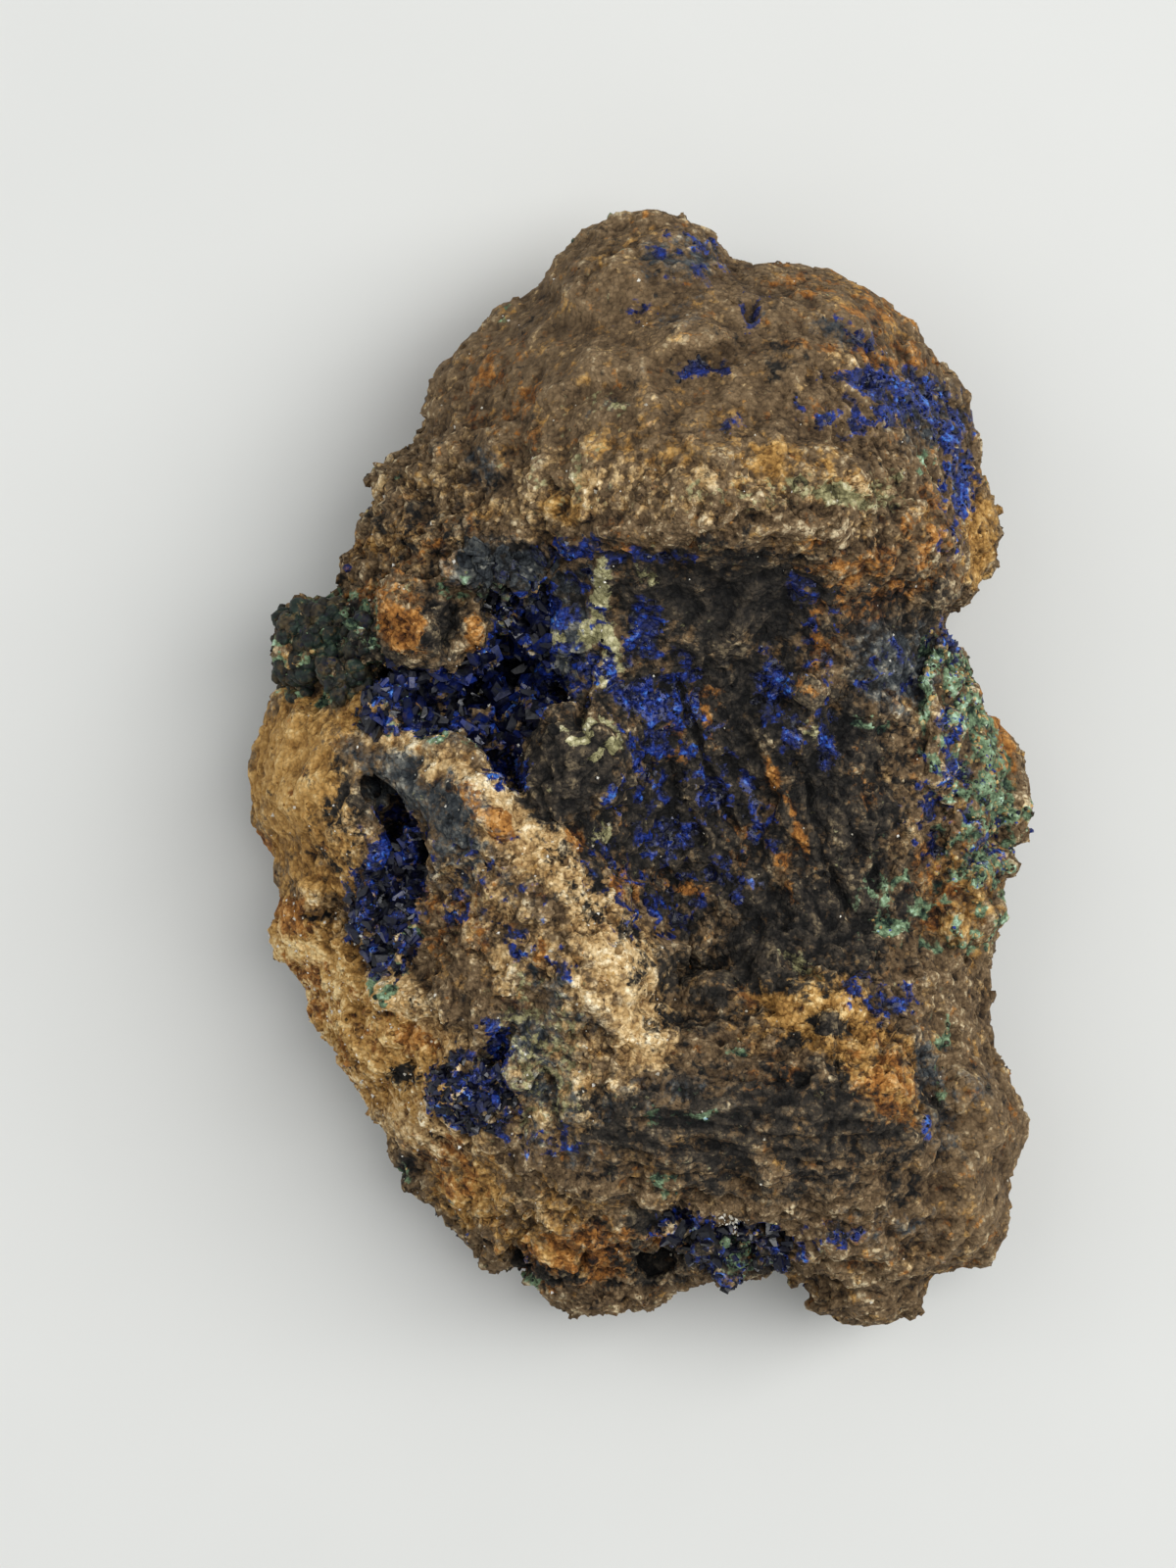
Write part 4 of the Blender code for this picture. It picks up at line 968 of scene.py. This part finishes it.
def flake():
    """A thin plate with a broken outline: half-width 1."""
    bpy.ops.object.select_all(action="DESELECT")
    bpy.ops.mesh.primitive_cylinder_add(vertices=7, radius=1.0, depth=0.26)
    edit_all()
    bpy.ops.transform.resize(value=(1.0, 0.62, 1.0))
    bpy.ops.object.mode_set(mode="OBJECT")
    return template()


def scattered(obj, count, density, rng):
    """Random places on the surface: the points, the outward directions and the triangles they fall on."""
    points = points_of(obj.data)
    corners, flat = faces_of(obj.data, points)
    area = np.linalg.norm(flat, axis=1)
    chance = area * density[corners].mean(axis=1)
    chosen = np.searchsorted(np.cumsum(chance) / chance.sum(), rng.random(count))
    chosen = np.minimum(chosen, len(corners) - 1)
    shares = rng.dirichlet((1.0, 1.0, 1.0), count)
    at = (points[corners[chosen]] * shares[:, :, None]).sum(axis=1)
    way = flat[chosen] / np.maximum(area[chosen], TINY)[:, None]
    return at, way, corners[chosen]


def half_widths(count, smallest, largest, rng, power=2.0):
    """Random half-widths in metres, from millimetres, most of them small."""
    return (smallest + (largest - smallest) * rng.random(count) ** power) * MM


def leaning(way, much, rng, up=0.0):
    """The directions, each turned a little by chance and, if asked, upwards."""
    lean = way + np.array((0.0, 0.0, up)) + rng.normal(0.0, much, way.shape)
    return lean / np.linalg.norm(lean, axis=1, keepdims=True)


def frames(way, rng):
    """For each direction, a turned set of three axes whose third is that direction."""
    side = np.cross(way, rng.normal(size=way.shape))
    side /= np.maximum(np.linalg.norm(side, axis=1, keepdims=True), TINY)
    other = np.cross(way, side)
    return np.stack([side, other, way], axis=2)


def grown(name, shape, at, way, half_width, rng, stretch, sink, rough, shades=(0.0, 1.0)):
    """One mesh of many copies of a shape, each turned along its direction, stretched, sunk and roughened."""
    base, faces = shape
    count, size = len(at), len(base)
    tall = rng.uniform(*stretch, count)
    local = base[None] * np.stack([np.ones(count), rng.uniform(0.7, 1.0, count), tall], axis=1)[:, None]
    local = local * (1.0 + rough * rng.uniform(-1.0, 1.0, (count, size, 1)))
    local[:, :, 2] -= sink
    world = np.einsum("nij,nkj->nki", frames(way, rng), local * half_width[:, None, None]) + at[:, None]
    every = (faces[None] + (np.arange(count) * size)[:, None, None]).reshape(-1, 3)
    mesh = bpy.data.meshes.new(name)
    mesh.from_pydata(inside_box(world.reshape(-1, 3)).tolist(), [], every.tolist())
    mesh.update()
    made = placed(name, mesh)
    set_weights(mesh, "tone", np.repeat(rng.uniform(*shades, count), size))
    return made


def lend_weights(rock, made, corners, size, rng, shades=(-0.9, 0.6)):
    """Gives each grain the mineral weights of the place that it lies on, and a shade of its own."""
    for name in (*MINERALS, "calm"):
        there = weights_of(rock.data, name)[corners].mean(axis=1)
        set_weights(made.data, name, np.repeat(there, size))
    set_weights(made.data, "crest", np.repeat(rng.uniform(*shades, len(corners)), size))


def grains(rock, name, shape, sizes, density, sink, rng):
    """Loose bits of the stone itself, standing out of it."""
    at, way, corners = scattered(rock, sizes[0], density, rng)
    half_width = half_widths(*sizes, rng, MOSTLY_SMALL)
    made = grown(name, shape, at, leaning(way, 0.3, rng), half_width, rng, stretch=(0.55, 1.0), sink=sink,
                 rough=0.24)
    lend_weights(rock, made, corners, len(shape[0]), rng)
    return made


def sand_grains(rock, rng):
    """Sand grains all over, fewer where the stone is calm."""
    density = 0.9 + 0.5 * weights_of(rock.data, "sand") - 0.5 * weights_of(rock.data, "calm")
    return grains(rock, "sand_grains", sharp_grain(), SAND_GRAINS, density, 0.30, rng)


def crumbs(rock, rng):
    """Larger crumbs, most of them where the stone breaks coarsely."""
    mesh = rock.data
    density = 0.12 + Chart(points_of(mesh)).cover(COARSE) + 0.4 * weights_of(mesh, "sand")
    density = np.clip(density - 0.5 * weights_of(mesh, "calm"), 0.02, 2.0)
    return grains(rock, "crumbs", ball(1), CRUMBS, density, 0.40, rng)


def flakes(rock, rng):
    """Thin plates of slate above the large hollow."""
    count, smallest, largest = FLAKES
    density = Chart(points_of(rock.data)).cover(FLAKY) ** 2
    at, way, corners = scattered(rock, count, density, rng)
    shape = flake()
    half_width = rng.uniform(smallest, largest, count) * MM
    made = grown("slate_flakes", shape, at + 0.15 * MM * way, leaning(way, 0.22, rng), half_width, rng,
                 stretch=(0.6, 1.2), sink=0.0, rough=0.22)
    lend_weights(rock, made, corners, len(shape[0]), rng, shades=(-1.0, 0.45))
    return made


def blue_grains(rock, rng):
    """Small azurite crystals wherever the stone is stained blue."""
    density = np.clip(weights_of(rock.data, "azurite") - 0.45, 0.0, 0.5)
    at, way, _ = scattered(rock, BLUE_GRAINS[0], density, rng)
    half_width = half_widths(*BLUE_GRAINS, rng)
    return grown("azurite_grains", sharp_grain(), at, leaning(way, 0.5, rng), half_width, rng,
                 stretch=(0.9, 1.6), sink=0.3, rough=0.15)


def green_grains(rock, rng):
    """Small malachite tufts wherever the stone is stained green."""
    density = np.clip(weights_of(rock.data, "malachite") - 0.45, 0.0, 0.5)
    at, way, _ = scattered(rock, GREEN_GRAINS[0], density, rng)
    half_width = half_widths(*GREEN_GRAINS, rng)
    return grown("malachite_grains", ball(1), at, way, half_width, rng, stretch=(0.5, 0.9), sink=0.3,
                 rough=0.12)


def quartz_grains(rock, rng):
    """Bright grains that glint here and there."""
    mesh = rock.data
    chart = Chart(points_of(mesh))
    sandy = 0.02 + 0.5 * weights_of(mesh, "sand") ** 2 + 0.3 * weights_of(mesh, "vein") ** 2
    density = sandy + 22.0 * chart.cover(GLINTS) ** 2
    at, way, _ = scattered(rock, QUARTZ_GRAINS[0], density, rng)
    half_width = half_widths(*QUARTZ_GRAINS, rng)
    return grown("quartz_grains", sharp_grain(), at, leaning(way, 0.4, rng), half_width, rng,
                 stretch=(0.8, 1.3), sink=0.1, rough=0.2)


def crystal_crust(rock, node, rng):
    """A crust of azurite: crystals of all sizes grown on the wall of their hollow."""
    count, smallest, largest, _, brightness = BLUE_NODES[node]
    near = np.clip(weights_of(rock.data, node) - 0.25, 0.0, 1.0)
    up = np.clip(outward(rock.data, points_of(rock.data))[:, 2] + 0.5, 0.05, 1.0)
    at, way, corners = scattered(rock, count, np.minimum(3.0 * near, 1.0) * up, rng)
    half_width = half_widths(count, smallest, largest, rng, MOSTLY_SMALL)
    shape = blade()
    made = grown(node + "_crust", shape, at, leaning(way, 0.38, rng, up=0.30), half_width, rng,
                 stretch=(0.55, 0.95), sink=0.55, rough=0.05)
    # crystals in hollows are darker and those on crests brighter: painted shade
    light = np.clip(0.60 + 0.9 * weights_of(rock.data, "crest")[corners].mean(axis=1), 0.15, 1.0)
    set_weights(made.data, "tone", np.repeat(brightness * light * rng.random(count), len(shape[0])))
    return made


def knobbly_crust(rock, node, rng):
    """A crust of malachite: rounded knobs of all sizes that run into each other."""
    count, smallest, largest, shades = GREEN_NODES[node]
    near = np.clip(weights_of(rock.data, node) - 0.2, 0.0, 1.0)
    green = np.clip(weights_of(rock.data, "malachite") - 0.25, 0.02, 1.0)
    at, way, _ = scattered(rock, count, np.minimum(3.0 * near, 1.0) * green, rng)
    half_width = half_widths(count, smallest, largest, rng)
    return grown(node + "_crust", ball(2), at, leaning(way, 0.2, rng), half_width, rng,
                 stretch=(0.55, 0.8), sink=0.35, rough=0.07, shades=shades)


def dress(obj, finish, flat=True):
    """Gives a piece its finish and says what carries it."""
    obj.data.materials.clear()
    obj.data.materials.append(finish)
    obj.data.polygons.foreach_set("use_smooth", np.full(len(obj.data.polygons), not flat))
    obj.data.update()
    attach(obj, "root")


def build():
    """Makes every piece and gives each its finish."""
    rng = np.random.default_rng(SEED)
    rock_finish, blue, green, clear = stone_finish(), crystal_finish(), malachite_finish(), quartz_finish()
    rock = stone()
    dress(rock, rock_finish, flat=False)
    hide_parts("matrix")
    dress(sand_grains(rock, rng), rock_finish)
    dress(crumbs(rock, rng), rock_finish)
    dress(flakes(rock, rng), rock_finish)
    dress(blue_grains(rock, rng), blue)
    dress(green_grains(rock, rng), green, flat=False)
    dress(quartz_grains(rock, rng), clear)
    for node in BLUE_NODES:
        crust = crystal_crust(rock, node, rng)
        dress(crust, blue)
        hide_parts(node)
    for node in GREEN_NODES:
        crust = knobbly_crust(rock, node, rng)
        dress(crust, green, flat=False)
        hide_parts(node)


def table_top():
    """A pale matt table top, far wider than the view."""
    bpy.ops.object.select_all(action="DESELECT")
    bpy.ops.mesh.primitive_plane_add(size=TABLE_WIDTH)
    made = bpy.context.object
    made.name = "table_top"
    sheet = Sheet("paper")
    mottle = sheet.clouds(sheet.place(), 40.0, 3.0)
    paper = sheet.finish(Base_Color=sheet.ramp(mottle, PAPER_TONES), Roughness=0.7, Specular_IOR_Level=0.3)
    made.data.materials.append(paper)


def lamp(name, at, width, length, power):
    """A soft white lamp that shines on the specimen."""
    light = bpy.data.lights.new(name, "AREA")
    light.shape = "RECTANGLE"
    light.size = width
    light.size_y = length
    light.energy = power
    made = placed(name, light)
    made.location = at
    made.rotation_euler = Vector(at).to_track_quat("Z", "Y").to_euler()


def light_and_camera():
    """The soft light of a room, and the camera straight above the specimen."""
    scene = bpy.context.scene
    scene.view_settings.view_transform = "Standard"
    world = bpy.data.worlds.new("room")
    world.use_nodes = True
    sky = world.node_tree.nodes["Background"]
    sky.inputs["Color"].default_value = SKY_COLOUR
    sky.inputs["Strength"].default_value = SKY_POWER
    scene.world = world
    for name, (at, width, length, power) in LAMPS.items():
        lamp(name, at, width, length, power)
    camera = bpy.data.cameras.new("camera")
    camera.sensor_fit = "HORIZONTAL"
    camera.sensor_width = SENSOR
    camera.lens = SENSOR * (EYE.z - OUTLINE_HEIGHT) / (PHOTO_SIZE[0] * PIXEL)
    made = placed("camera", camera)
    made.location = EYE
    scene.camera = made


build()
table_top()
light_and_camera()
